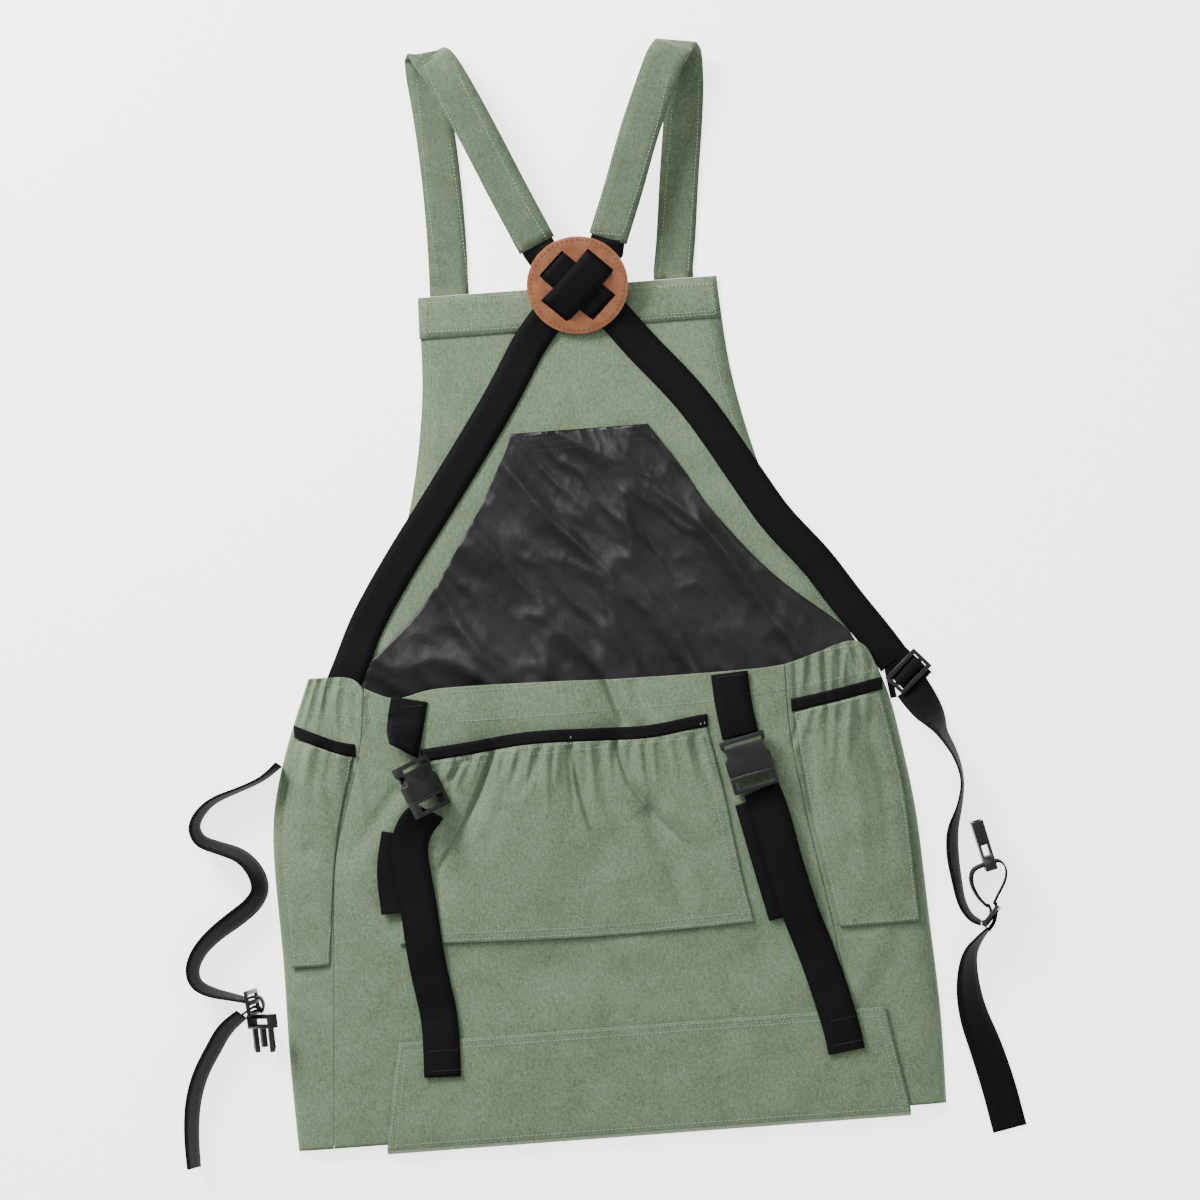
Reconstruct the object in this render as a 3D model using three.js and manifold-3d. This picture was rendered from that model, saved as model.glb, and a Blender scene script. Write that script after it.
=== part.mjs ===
// Gardening apron of canvas, lying face up on a flat surface, in millimetres.
// +X runs to the right of the photo's view, +Y towards the top of the bib and +Z up.
// The origin is the middle of the waist, on the underside of the back panel.
import * as THREE from 'three';
import { mergeVertices } from 'three/addons/utils/BufferGeometryUtils.js';
import Module from 'manifold-3d';

const wasm = await Module();
wasm.setup();

// Body sizes
const BIB_TOP_WIDTH = 260;
const BIB_HEIGHT = 333;
const BIB_SKEW = 8;
const SKIRT_LENGTH = 399;
const HEM_WIDTH = 565;
const LINING_RISE = 209;
const BAND_DEPTH = 36;
const CASING_DEPTH = 28;
const POUCH_DEPTH = 24;
const LINING_WAVE = 1.1;
const HEM_RISE = 8.5;
const EDGE_ROUND = 34;
const GATHER_DEPTH = 5;
const MOUTH_LIFT = 6.5;

// Walls and clearances
const CANVAS = 1.4;
const NYLON = 1;
const STRAP_CANVAS = 2.2;
const WEBBING = 1.5;
const BINDING = 1.6;
const GAP = 0.3;
const LAID_GAP = 0.45;
const BACK_INSET = 3.1;
const LINING_INSET = 13;

// Pockets, flap and bindings
const BINDING_WIDTH = 11;
const CENTRE_POCKET_BULGE = 9;
const SIDE_POCKET_BULGE = 6.5;
const CENTRE_POCKET_DEPTH = 0.57;
const SIDE_POCKET_DEPTH = 0.6;
const FLAP_DEPTH = 88;
const FLAP_TURN = 9;
const FLAP_TURN_SHARE = 0.2;

// Straps and webbing
const SHOULDER_STRAP_WIDTH = 34;
const WEBBING_WIDTH = 30;
const POUCH_STRAP_WIDTH = 32;
const STRAP_LOOP = 217;
const STRAP_LOOP_DEPTH = 31;
const LEFT_TIE_REACH = 90;
const LEFT_TIE_DROP = 205;
const LEFT_TAIL_DROP = 130;
const RIGHT_TIE_REACH = 60;
const RIGHT_TIE_DROP = 220;
const RIGHT_TAIL_DROP = 176;
const BUCKLE_LOOP_WIDTH = 42;
const BUCKLE_LOOP_LENGTH = 30;
const ANCHOR_WIDTH = 24;
const SOCKET_HEADING = 193;

// Leather disc
const DISC_DIAMETER = 88;
const DISC_TILT = 20;
const LEATHER = 2.6;
const SLOT_RADIUS = 28.5;
const SLOT_WIDTH = 8;
const SLOT_SIDE_PLAY = 1;
const SLOT_DIP = 2.5;

// Buckles and sliders
const BUCKLE_WIDTH = 40;
const BUCKLE_LENGTH = 32;
const BUCKLE_THICKNESS = 9;
const BUCKLE_WALL = 2;
const BUCKLE_TAIL = 15;
const BUCKLE_BAR = 3.5;
const WAIST_BUCKLE_LENGTH = 44;
const WAIST_BUCKLE_THICKNESS = 10;
const WAIST_BUCKLE_BASE = 12;
const WAIST_PRONG_REACH = 21;
const WAIST_PRONG_WIDTH = 36;
const SLIDER_LENGTH = 36;
const SLIDER_WIDTH = 22;
const SLIDER_THICKNESS = 3;
const SLIDER_BAR = 4;

// Mesh rows: the front's and back's in all, and the shares of the rows above the waist
const FRONT_ROWS = 20;
const BACK_ROWS = 16;
const BIB_SHARE = 0.55;
const LINING_SHARE = 0.6;
const MERGE_TOLERANCE = 1e-3;

const CANVAS_GREEN = 0x8b9b83;
const BLACK_WEBBING = 0x1b1b1d;
const BLACK_NYLON = 0x343338;
const BLACK_PLASTIC = 0x26262a;
const TAN_LEATHER = 0xac6e4b;

const halfBib = BIB_TOP_WIDTH / 2;
const halfHem = HEM_WIDTH / 2;
const seamGap = GAP / 2;
const apron = new THREE.Group();

// Tables

// Bib outline: up is a share of the bib's height, half a share of half its top width
const bibSections = [
  { up: 0, half: 1.76 },
  { up: 0.06, half: 1.64 },
  { up: 0.15, half: 1.53 },
  { up: 0.3, half: 1.34 },
  { up: 0.45, half: 1.19 },
  { up: 0.6, half: 1.1 },
  { up: 0.75, half: 1.03 },
  { up: 1, half: 1 },
];

// Lining outline above the waist: up is a share of its rise, left and right of half the hem
const liningSections = [
  { up: 0, left: -0.755, right: 0.83 },
  { up: 0.13, left: -0.67, right: 0.755 },
  { up: 0.24, left: -0.565, right: 0.645 },
  { up: 0.37, left: -0.48, right: 0.54 },
  { up: 0.54, left: -0.4, right: 0.44 },
  { up: 0.62, left: -0.354, right: 0.385 },
  { up: 0.76, left: -0.295, right: 0.335 },
  { up: 0.91, left: -0.235, right: 0.26 },
  { up: 1, left: -0.205, right: 0.216 },
];

// Pouch front: down is a share of the skirt's length, the others of half the hem
const skirtSections = [
  { down: 0, leftEdge: -0.885, leftSeam: -0.715, rightSeam: 0.58, rightEdge: 0.84 },
  { down: 0.06, leftEdge: -0.92, leftSeam: -0.725, rightSeam: 0.58, rightEdge: 0.875 },
  { down: 0.12, leftEdge: -0.955, leftSeam: -0.736, rightSeam: 0.58, rightEdge: 0.9 },
  { down: 0.18, leftEdge: -0.985, leftSeam: -0.76, rightSeam: 0.585, rightEdge: 0.915 },
  { down: 0.27, leftEdge: -1.02, leftSeam: -0.8, rightSeam: 0.6, rightEdge: 0.935 },
  { down: 0.37, leftEdge: -1.033, leftSeam: -0.845, rightSeam: 0.62, rightEdge: 0.952 },
  { down: 0.6, leftEdge: -1.027, leftSeam: -0.87, rightSeam: 0.673, rightEdge: 0.967 },
  { down: 0.8, leftEdge: -1.03, leftSeam: -0.892, rightSeam: 0.7, rightEdge: 0.98 },
  { down: 1, leftEdge: -1.023, leftSeam: -0.913, rightSeam: 0.722, rightEdge: 0.977 },
];

// Waist edge of the pouch: across is a share of half the hem, rise of the casing's depth
const waistLine = [
  { across: -0.9, rise: 0.36 },
  { across: -0.75, rise: 0.28 },
  { across: -0.71, rise: -0.1 },
  { across: -0.61, rise: -0.5 },
  { across: -0.53, rise: -0.25 },
  { across: -0.11, rise: -0.29 },
  { across: 0.07, rise: -0.36 },
  { across: 0.46, rise: -0.36 },
  { across: 0.58, rise: -0.29 },
  { across: 0.68, rise: 0 },
  { across: 0.8, rise: 0.28 },
  { across: 0.86, rise: -0.2 },
];

// How far the pouch's middle stands up: a share of the pouch's depth
const crownSections = [
  { down: 0, crown: 0.68 },
  { down: 0.1, crown: 0.94 },
  { down: 0.25, crown: 1 },
  { down: 0.5, crown: 0.8 },
  { down: 0.75, crown: 0.52 },
  { down: 1, crown: 0 },
];

// Folds of the pouch front, each from one point to another: across and down as above,
// width a share of half the hem and height of the pouch's depth
const folds = [
  { fromX: 0.045, fromY: 0.02, toX: 0.07, toY: 0.17, width: 0.055, height: -0.34 },
  { fromX: 0.07, fromY: 0.17, toX: 0.25, toY: 0.42, width: 0.065, height: -0.28 },
  { fromX: -0.33, fromY: 0.15, toX: -0.38, toY: 0.27, width: 0.06, height: -0.3 },
  { fromX: -0.38, fromY: 0.27, toX: -0.56, toY: 0.44, width: 0.07, height: -0.28 },
  { fromX: -0.1, fromY: 0.16, toX: -0.03, toY: 0.4, width: 0.06, height: -0.18 },
  { fromX: -0.2, fromY: 0.2, toX: -0.24, toY: 0.42, width: 0.075, height: 0.16 },
  { fromX: 0.14, fromY: 0.18, toX: 0.36, toY: 0.4, width: 0.07, height: 0.14 },
  { fromX: -0.52, fromY: 0.72, toX: -0.1, toY: 0.62, width: 0.075, height: -0.16 },
  { fromX: 0.1, fromY: 0.7, toX: 0.52, toY: 0.6, width: 0.08, height: -0.14 },
  { fromX: -0.7, fromY: 0.5, toX: -0.62, toY: 0.85, width: 0.08, height: -0.14 },
  { fromX: 0.62, fromY: 0.12, toX: 0.74, toY: 0.36, width: 0.07, height: -0.22 },
  { fromX: 0.8, fromY: 0.1, toX: 0.86, toY: 0.3, width: 0.06, height: -0.12 },
  { fromX: -0.86, fromY: 0.14, toX: -0.84, toY: 0.32, width: 0.06, height: -0.16 },
];

// General helpers

function finish(geometry) {
  geometry.deleteAttribute('uv');
  geometry.deleteAttribute('normal');
  const merged = mergeVertices(geometry, MERGE_TOLERANCE);
  merged.computeVertexNormals();
  return merged;
}

function plain(color, roughness) {
  return new THREE.MeshStandardMaterial({ color, roughness, metalness: 0 });
}

const canvas = plain(CANVAS_GREEN, 0.92);
const webbing = plain(BLACK_WEBBING, 0.85);
const nylon = plain(BLACK_NYLON, 0.45);
const plastic = plain(BLACK_PLASTIC, 0.4);
const leather = plain(TAN_LEATHER, 0.55);

function add(name, geometry, material) {
  const mesh = new THREE.Mesh(geometry, material);
  mesh.name = name;
  mesh.updateMatrixWorld();
  apron.add(mesh);
  return mesh;
}

// Reads one column of a table between its rows, along a smooth curve
function read(table, key, column, at) {
  const last = table.length - 1;
  let row = 0;
  while (row < last - 1 && at > table[row + 1][key]) row += 1;
  const span = table[row + 1][key] - table[row][key];
  const share = Math.min(1, Math.max(0, (at - table[row][key]) / span));
  const slope = (i) => {
    const low = Math.max(0, i - 1);
    const high = Math.min(last, i + 1);
    return (table[high][column] - table[low][column]) / (table[high][key] - table[low][key]);
  };
  const cube = share * share * share;
  const square = share * share;
  return (2 * cube - 3 * square + 1) * table[row][column]
    + (cube - 2 * square + share) * span * slope(row)
    + (3 * square - 2 * cube) * table[row + 1][column]
    + (cube - square) * span * slope(row + 1);
}

const mix = THREE.MathUtils.lerp;

// A wall of cloth: place gives the point of its upper side at u across and v down
function cloth(across, down, thickness, place) {
  const box = new THREE.BoxGeometry(1, 1, 1, across, down, 1);
  const corner = box.attributes.position;
  const step = 1e-3;
  for (let i = 0; i < corner.count; i += 1) {
    const u = corner.getX(i) + 0.5;
    const v = 0.5 - corner.getY(i);
    const point = place(u, v);
    if (corner.getZ(i) < 0) {
      const acrossWay = place(Math.min(1, u + step), v).sub(place(Math.max(0, u - step), v));
      const upWay = place(u, Math.max(0, v - step)).sub(place(u, Math.min(1, v + step)));
      point.addScaledVector(acrossWay.cross(upWay).normalize(), -thickness);
    }
    corner.setXYZ(i, point.x, point.y, point.z);
  }
  return finish(box);
}

// A strap from sections, each with its centre and the direction of its width
function strap(sections, width, thickness) {
  const steps = sections.length - 1;
  const box = new THREE.BoxGeometry(width, thickness, 1, 1, 1, steps);
  const corner = box.attributes.position;
  const frames = sections.map((section, i) => {
    const before = sections[Math.max(0, i - 1)].centre;
    const after = sections[Math.min(steps, i + 1)].centre;
    const way = after.clone().sub(before).normalize();
    const side = section.side.clone().addScaledVector(way, -section.side.dot(way)).normalize();
    return { centre: section.centre, side, face: way.clone().cross(side) };
  });
  for (let i = 0; i < corner.count; i += 1) {
    const frame = frames[Math.round((corner.getZ(i) + 0.5) * steps)];
    const point = frame.centre.clone()
      .addScaledVector(frame.side, corner.getX(i))
      .addScaledVector(frame.face, corner.getY(i));
    corner.setXYZ(i, point.x, point.y, point.z);
  }
  return finish(box);
}

// Smooth sections through rows of a point and a width direction
function throughRows(rows, steps) {
  const centres = new THREE.CatmullRomCurve3(rows.map((row) => row.centre), false, 'centripetal');
  const sections = [];
  for (let i = 0; i <= steps; i += 1) {
    const t = i / steps * (rows.length - 1);
    const row = Math.min(rows.length - 2, Math.floor(t));
    const side = rows[row].side.clone().lerp(rows[row + 1].side, t - row).normalize();
    sections.push({ centre: centres.getPoint(i / steps), side });
  }
  return sections;
}

// The highest point of the carriers around a place, looked for from above
const plumb = new THREE.Raycaster();
const sky = 200;
const straightDown = new THREE.Vector3(0, 0, -1);

function topAt(carriers, x, y, reach) {
  let top = 0;
  for (const dx of [-reach, 0, reach]) {
    for (const dy of [-reach, 0, reach]) {
      plumb.set(new THREE.Vector3(x + dx, y + dy, sky), straightDown);
      const hit = plumb.intersectObjects(carriers, false)[0];
      if (hit) top = Math.max(top, hit.point.z);
    }
  }
  return top;
}

// A strap laid on its carriers, through points in the plane; lean stands it on one edge
function laidStrap(points, steps, width, thickness, carriers, reach, lift = LAID_GAP) {
  const line = new THREE.CatmullRomCurve3(
    points.map((point) => new THREE.Vector3(point.x, point.y, 0)), false, 'centripetal');
  const sections = [];
  for (let i = 0; i <= steps; i += 1) {
    const t = i / steps * (points.length - 1);
    const row = Math.min(points.length - 2, Math.floor(t));
    const degrees = mix(points[row].lean ?? 0, points[row + 1].lean ?? 0, t - row);
    const lean = THREE.MathUtils.degToRad(degrees);
    const centre = line.getPoint(i / steps);
    const way = line.getTangent(i / steps);
    const side = new THREE.Vector3(way.y, -way.x, 0);
    const heights = [-1, 1].map((hand) => Math.max(...[0, 0.5, 1].map((share) => {
      const at = centre.clone().addScaledVector(side, hand * share * Math.cos(lean) * width / 2);
      return topAt(carriers, at.x, at.y, reach);
    })));
    if (lean === 0) {
      centre.z = (heights[0] + heights[1]) / 2 + lift + thickness / 2;
      side.z = (heights[1] - heights[0]) / width;
    } else {
      centre.z = Math.max(...heights) + lift + (width * Math.abs(Math.sin(lean)) + thickness * Math.cos(lean)) / 2;
      side.multiplyScalar(Math.cos(lean)).setZ(Math.sin(lean));
    }
    sections.push({ centre, side: side.normalize() });
  }
  return sections;
}

// Shape of the apron's body

const skirtAt = (column, down) => halfHem * read(skirtSections, 'down', column, down);
const waistAt = (x) => CASING_DEPTH * read(waistLine, 'across', 'rise', x / halfHem);

function foldHeight(x, y) {
  let height = 0;
  for (const fold of folds) {
    const start = new THREE.Vector2(fold.fromX * halfHem, -fold.fromY * SKIRT_LENGTH);
    const way = new THREE.Vector2(fold.toX * halfHem, -fold.toY * SKIRT_LENGTH).sub(start);
    const offset = new THREE.Vector2(x, y).sub(start);
    const share = THREE.MathUtils.clamp(offset.dot(way) / way.lengthSq(), 0, 1);
    const distance = offset.addScaledVector(way, -share).length() / (fold.width * halfHem);
    height += fold.height * POUCH_DEPTH * Math.exp(-distance * distance);
  }
  return height;
}

// Upper side of the pouch's front, rounded down to the floor at both sides
function frontHeight(x, y, down) {
  const room = Math.min(x - skirtAt('leftEdge', down), skirtAt('rightEdge', down) - x);
  const inward = Math.min(1, Math.max(0, room) / EDGE_ROUND);
  const round = (1 - (1 - inward) ** 2.3) ** (1 / 2.3);
  const dome = Math.sin(Math.PI / 2 * Math.min(1, Math.max(0, room) / (0.55 * halfHem)));
  const crown = (POUCH_DEPTH - HEM_RISE) * read(crownSections, 'down', 'crown', down);
  const lift = MOUTH_LIFT * Math.max(0, 1 - down / 0.16);
  return GAP + lift + round * (HEM_RISE + crown * dome + foldHeight(x, y) * Math.min(1, 6 * (1 - down)));
}

function frontPoint(x, topX, down, gather) {
  const y = mix(waistAt(topX), -SKIRT_LENGTH, down);
  return new THREE.Vector3(x, y, frontHeight(x, y, down) + gather);
}

// A panel of the pouch's front between two columns of the skirt's table
function frontPanel(name, leftColumn, rightColumn, columns, rows, shape) {
  const leftGap = leftColumn === 'leftEdge' ? 0 : seamGap;
  const rightGap = rightColumn === 'rightEdge' ? 0 : seamGap;
  const place = (u, v) => {
    const share = shape.spread(u);
    const down = v ** 1.25;
    const x = mix(skirtAt(leftColumn, down) + leftGap, skirtAt(rightColumn, down) - rightGap, share);
    const topX = mix(skirtAt(leftColumn, 0), skirtAt(rightColumn, 0), share);
    const fade = Math.max(0, 1 - down / 0.2);
    const ends = Math.sin(Math.PI * THREE.MathUtils.clamp(u, 0, 1));
    const gather = -GATHER_DEPTH * shape.gather * fade * ends * (0.5 + 0.5 * Math.cos(Math.PI * columns * u));
    return frontPoint(x, topX, down, gather);
  };
  return add(name, cloth(columns, rows, CANVAS, place), canvas);
}

const leftSide = frontPanel('left_side_panel', 'leftEdge', 'leftSeam', 10, FRONT_ROWS,
  { gather: 1, spread: (u) => u ** 1.5 });
const centrePanel = frontPanel('centre_panel', 'leftSeam', 'rightSeam', 26, FRONT_ROWS,
  { gather: 0, spread: (u) => u });
const rightSide = frontPanel('right_side_panel', 'rightSeam', 'rightEdge', 12, FRONT_ROWS,
  { gather: 1, spread: (u) => 1 - (1 - u) ** 1.5 });
const front = [leftSide, centrePanel, rightSide];

// Back panel: the bib above the waist and the back of the skirt below it
const backPanel = add('back_panel', cloth(4, BACK_ROWS, CANVAS, (u, v) => {
  if (v < BIB_SHARE) {
    const up = 1 - v / BIB_SHARE;
    const half = halfBib * read(bibSections, 'up', 'half', up);
    return new THREE.Vector3(mix(-half, half, u) + BIB_SKEW * (1 - up), up * BIB_HEIGHT, CANVAS);
  }
  const down = (v - BIB_SHARE) / (1 - BIB_SHARE);
  const left = skirtAt('leftEdge', down) + BACK_INSET;
  const right = skirtAt('rightEdge', down) - BACK_INSET;
  const join = Math.min(1, down / 0.12);
  const half = halfBib * bibSections[0].half;
  const x = mix(mix(BIB_SKEW - half, left, join), mix(BIB_SKEW + half, right, join), u);
  return new THREE.Vector3(x, -down * (SKIRT_LENGTH - BACK_INSET), CANVAS);
}), canvas);

const band = add('bib_top_band', cloth(8, 1, CANVAS, (u, v) => {
  const up = 1 - v * BAND_DEPTH / BIB_HEIGHT;
  const half = halfBib * read(bibSections, 'up', 'half', up) + GAP;
  return new THREE.Vector3(mix(-half, half, u), up * BIB_HEIGHT, 2 * CANVAS + GAP);
}), canvas);

// Lining: the nylon back of the pouch, from its gathered top hem down to the skirt's hem
const liningWave = (x, y) => LINING_WAVE * (1 + Math.sin(x / 21 + y / 34) * Math.sin(y / 27 - x / 50));
const lining = add('lining_panel', cloth(14, 15, NYLON, (u, v) => {
  const lift = CANVAS + GAP + NYLON;
  if (v < LINING_SHARE) {
    const up = 1 - v / LINING_SHARE;
    const left = halfHem * read(liningSections, 'up', 'left', up);
    const right = halfHem * read(liningSections, 'up', 'right', up);
    const x = mix(left, right, u);
    const y = up * LINING_RISE;
    return new THREE.Vector3(x, y, lift + liningWave(x, y) * Math.min(1, 3 * up));
  }
  const down = (v - LINING_SHARE) / (1 - LINING_SHARE);
  const join = Math.min(1, down / 0.25);
  const left = mix(halfHem * liningSections[0].left, skirtAt('leftEdge', down) + LINING_INSET, join);
  const right = mix(halfHem * liningSections[0].right, skirtAt('rightEdge', down) - LINING_INSET, join);
  return new THREE.Vector3(mix(left, right, u), -down * (SKIRT_LENGTH - BACK_INSET), lift);
}), nylon);

// Pockets, sewn on the front along their sides and bottom

const bindingTop = [
  { across: -0.56, drop: 0.146 },
  { across: -0.39, drop: 0.136 },
  { across: -0.22, drop: 0.124 },
  { across: 0, drop: 0.128 },
  { across: 0.15, drop: 0.13 },
  { across: 0.31, drop: 0.115 },
];

const centrePocketSections = [
  { down: 0, left: -0.55, right: 0.325 },
  { down: 0.3, left: -0.575, right: 0.36 },
  { down: 0.75, left: -0.64, right: 0.397 },
  { down: 1, left: -0.665, right: 0.425 },
];

// A pocket's cloth: its outline comes from a table, and its mouth stands off the front
function pocketCloth(name, columns, rows, outline, mouth, bottom, bulge, gather, carriers) {
  const place = (u, v) => {
    const x = halfHem * mix(read(outline, 'down', 'left', v), read(outline, 'down', 'right', v), u);
    const top = mouth(halfHem * mix(outline[0].left, outline[0].right, u));
    const y = mix(top, bottom(x), v);
    const sides = Math.sin(Math.PI * THREE.MathUtils.clamp(u, 0, 1));
    const swell = bulge * sides ** 0.7 * (1 - Math.max(0, v)) ** 0.9;
    const ruffle = gather * sides * Math.max(0, 1 - 2.2 * v) * (0.5 + 0.5 * Math.cos(Math.PI * columns * u));
    return new THREE.Vector3(x, y, swell + ruffle);
  };
  return add(name, layCloth(columns, rows, CANVAS, place, carriers, 7), canvas);
}

// A cloth laid on its carriers: place gives its plan, and z its height above them
function layCloth(across, down, thickness, place, carriers, reach) {
  const box = new THREE.BoxGeometry(1, 1, 1, across, down, 1);
  const corner = box.attributes.position;
  for (let i = 0; i < corner.count; i += 1) {
    const point = place(corner.getX(i) + 0.5, 0.5 - corner.getY(i));
    const under = topAt(carriers, point.x, point.y, reach) + LAID_GAP + point.z;
    corner.setXYZ(i, point.x, point.y, corner.getZ(i) < 0 ? under : under + thickness);
  }
  return finish(box);
}

const centreMouth = (x) => -SKIRT_LENGTH * read(bindingTop, 'across', 'drop', x / halfHem);
const centreBottom = (x) => -SKIRT_LENGTH * (CENTRE_POCKET_DEPTH + 0.01 * Math.cos(3 * x / halfHem));
const centrePocket = pocketCloth('centre_pocket', 18, 8, centrePocketSections,
  (x) => centreMouth(x) - BINDING_WIDTH - GAP, centreBottom, CENTRE_POCKET_BULGE, 2.4, [centrePanel]);

// A binding: a folded tape along a pocket's mouth
function binding(name, left, right, mouth, bulge, columns, carriers) {
  return add(name, layCloth(columns, 1, BINDING, (u, v) => {
    const x = halfHem * mix(left, right, u);
    const sides = Math.sin(Math.PI * THREE.MathUtils.clamp(u, 0, 1));
    return new THREE.Vector3(x, mouth(x) - v * BINDING_WIDTH, bulge * sides ** 0.7);
  }, carriers, 7), webbing);
}

const centreBinding = binding('centre_pocket_binding', -0.555, 0.33, centreMouth,
  CENTRE_POCKET_BULGE, 18, [centrePanel]);

// Side pockets, each with a binding along its mouth
const leftBindingTop = [
  { across: -0.95, drop: 0.07 },
  { across: -0.8, drop: 0.117 },
  { across: -0.73, drop: 0.127 },
];
const rightBindingTop = [
  { across: 0.58, drop: 0.098 },
  { across: 0.72, drop: 0.083 },
  { across: 0.9, drop: 0.06 },
];
const leftPocketSections = [
  { down: 0, left: -0.93, right: -0.765 },
  { down: 0.4, left: -1.0, right: -0.835 },
  { down: 1, left: -1.0, right: -0.885 },
];
const rightPocketSections = [
  { down: 0, left: 0.597, right: 0.865 },
  { down: 0.4, left: 0.622, right: 0.915 },
  { down: 1, left: 0.69, right: 0.935 },
];
const sideBottom = () => -SKIRT_LENGTH * SIDE_POCKET_DEPTH;
const leftMouth = (x) => -SKIRT_LENGTH * read(leftBindingTop, 'across', 'drop', x / halfHem);
const rightMouth = (x) => -SKIRT_LENGTH * read(rightBindingTop, 'across', 'drop', x / halfHem);

pocketCloth('left_side_pocket', 5, 7, leftPocketSections,
  (x) => leftMouth(x) - BINDING_WIDTH - GAP, sideBottom, SIDE_POCKET_BULGE, 1.5, [leftSide]);
pocketCloth('right_side_pocket', 7, 7, rightPocketSections,
  (x) => rightMouth(x) - BINDING_WIDTH - GAP, sideBottom, SIDE_POCKET_BULGE, 2, [rightSide]);
binding('left_side_pocket_binding', -0.94, -0.755, leftMouth, SIDE_POCKET_BULGE, 6, [leftSide]);
binding('right_side_pocket_binding', 0.59, 0.875, rightMouth, SIDE_POCKET_BULGE, 8, [rightSide]);

// Bottom flap: laid on the front and turned down round the hem to the floor
const flapSections = [
  { down: 0, left: -0.69, right: 0.81 },
  { down: 0.4, left: -0.715, right: 0.83 },
  { down: 1, left: -0.75, right: 0.865 },
];
const flap = add('bottom_flap', cloth(16, 8, CANVAS, (u, v) => {
  const laid = 1 - FLAP_TURN_SHARE;
  const down = Math.min(1, v / laid);
  const x = halfHem * mix(read(flapSections, 'down', 'left', down), read(flapSections, 'down', 'right', down), u);
  const y = mix(FLAP_DEPTH - SKIRT_LENGTH, -SKIRT_LENGTH, down);
  const laidTop = topAt(front, x, Math.max(y, 6 - SKIRT_LENGTH), 9) + CANVAS + LAID_GAP;
  if (v <= laid) return new THREE.Vector3(x, y, laidTop);
  const turn = (v - laid) / FLAP_TURN_SHARE * Math.PI / 2;
  const height = laidTop - GAP;
  return new THREE.Vector3(x, y - FLAP_TURN * Math.sin(turn), GAP + height * Math.cos(turn));
}), canvas);

// Shoulder straps: up from the bib, over the fold and back down to the disc.
// across is a share of half the bib, up of the loop, high of the loop's depth, turn in degrees
const leftShoulder = [
  { across: -0.79, up: 0.004, high: 0, turn: 0 },
  { across: -0.78, up: 0.22, high: 0, turn: 0 },
  { across: -0.79, up: 0.53, high: 0.02, turn: 1 },
  { across: -0.82, up: 0.78, high: 0.08, turn: 2 },
  { across: -0.84, up: 0.9, high: 0.22, turn: 2 },
  { across: -0.83, up: 0.96, high: 0.5, turn: 3 },
  { across: -0.76, up: 0.93, high: 0.8, turn: 12 },
  { across: -0.66, up: 0.82, high: 0.96, turn: 20 },
  { across: -0.5, up: 0.61, high: 0.96, turn: 23 },
  { across: -0.35, up: 0.4, high: 0.88, turn: 24 },
  { across: -0.19, up: 0.185, high: 0.82, turn: 25 },
];
const rightShoulder = [
  { across: 0.71, up: 0.017, high: 0, turn: -6 },
  { across: 0.75, up: 0.16, high: 0, turn: -7 },
  { across: 0.8, up: 0.4, high: 0.02, turn: -8 },
  { across: 0.87, up: 0.7, high: 0.06, turn: -7 },
  { across: 0.885, up: 0.84, high: 0.2, turn: -6 },
  { across: 0.87, up: 0.92, high: 0.5, turn: -10 },
  { across: 0.79, up: 0.9, high: 0.8, turn: -15 },
  { across: 0.7, up: 0.79, high: 0.96, turn: -18 },
  { across: 0.55, up: 0.58, high: 0.96, turn: -20 },
  { across: 0.43, up: 0.38, high: 0.88, turn: -20 },
  { across: 0.305, up: 0.19, high: 0.82, turn: -19 },
];

function shoulderSections(table) {
  const rows = table.map((row) => {
    const angle = THREE.MathUtils.degToRad(row.turn);
    return {
      centre: new THREE.Vector3(row.across * halfBib, BIB_HEIGHT + row.up * STRAP_LOOP,
        GAP + STRAP_CANVAS / 2 + row.high * STRAP_LOOP_DEPTH),
      side: new THREE.Vector3(Math.cos(angle), Math.sin(angle), 0),
    };
  });
  return throughRows(rows, 26);
}

const leftShoulderSections = shoulderSections(leftShoulder);
const rightShoulderSections = shoulderSections(rightShoulder);
add('shoulder_strap_left', strap(leftShoulderSections, SHOULDER_STRAP_WIDTH, STRAP_CANVAS), canvas);
add('shoulder_strap_right', strap(rightShoulderSections, SHOULDER_STRAP_WIDTH, STRAP_CANVAS), canvas);

// Disc: its lower rim lies on the webbing and its upper rim is held up by the straps
const discRadius = DISC_DIAMETER / 2;
const tilt = THREE.MathUtils.degToRad(DISC_TILT);
const discFloor = 2 * CANVAS + GAP + WEBBING + 3 * GAP;
const discCentre = new THREE.Vector3(0.07 * halfBib, BIB_HEIGHT,
  discFloor + discRadius * Math.sin(tilt) + LEATHER / 2);
const discFrame = new THREE.Matrix4().makeRotationX(tilt).setPosition(discCentre);
const onDisc = (x, y, z) => new THREE.Vector3(x, y, z).applyMatrix4(discFrame);

function discShape() {
  const shape = new THREE.Shape().absarc(0, 0, discRadius, 0, 2 * Math.PI, false);
  const halfSlot = WEBBING_WIDTH / 2 + SLOT_SIDE_PLAY;
  for (const quarter of [45, 135, 225, 315]) {
    const angle = THREE.MathUtils.degToRad(quarter);
    const corners = [[-1, -1], [-1, 1], [1, 1], [1, -1]].map(([out, along]) => {
      const radius = SLOT_RADIUS + out * SLOT_WIDTH / 2;
      const shift = along * halfSlot;
      return new THREE.Vector2(radius * Math.cos(angle) - shift * Math.sin(angle),
        radius * Math.sin(angle) + shift * Math.cos(angle));
    });
    shape.holes.push(new THREE.Path(corners));
  }
  return shape;
}

const discBody = new THREE.ExtrudeGeometry(discShape(),
  { depth: LEATHER, bevelEnabled: false, curveSegments: 32 });
discBody.translate(0, 0, -LEATHER / 2).applyMatrix4(discFrame);
add('leather_disc', finish(discBody), leather);

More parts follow.
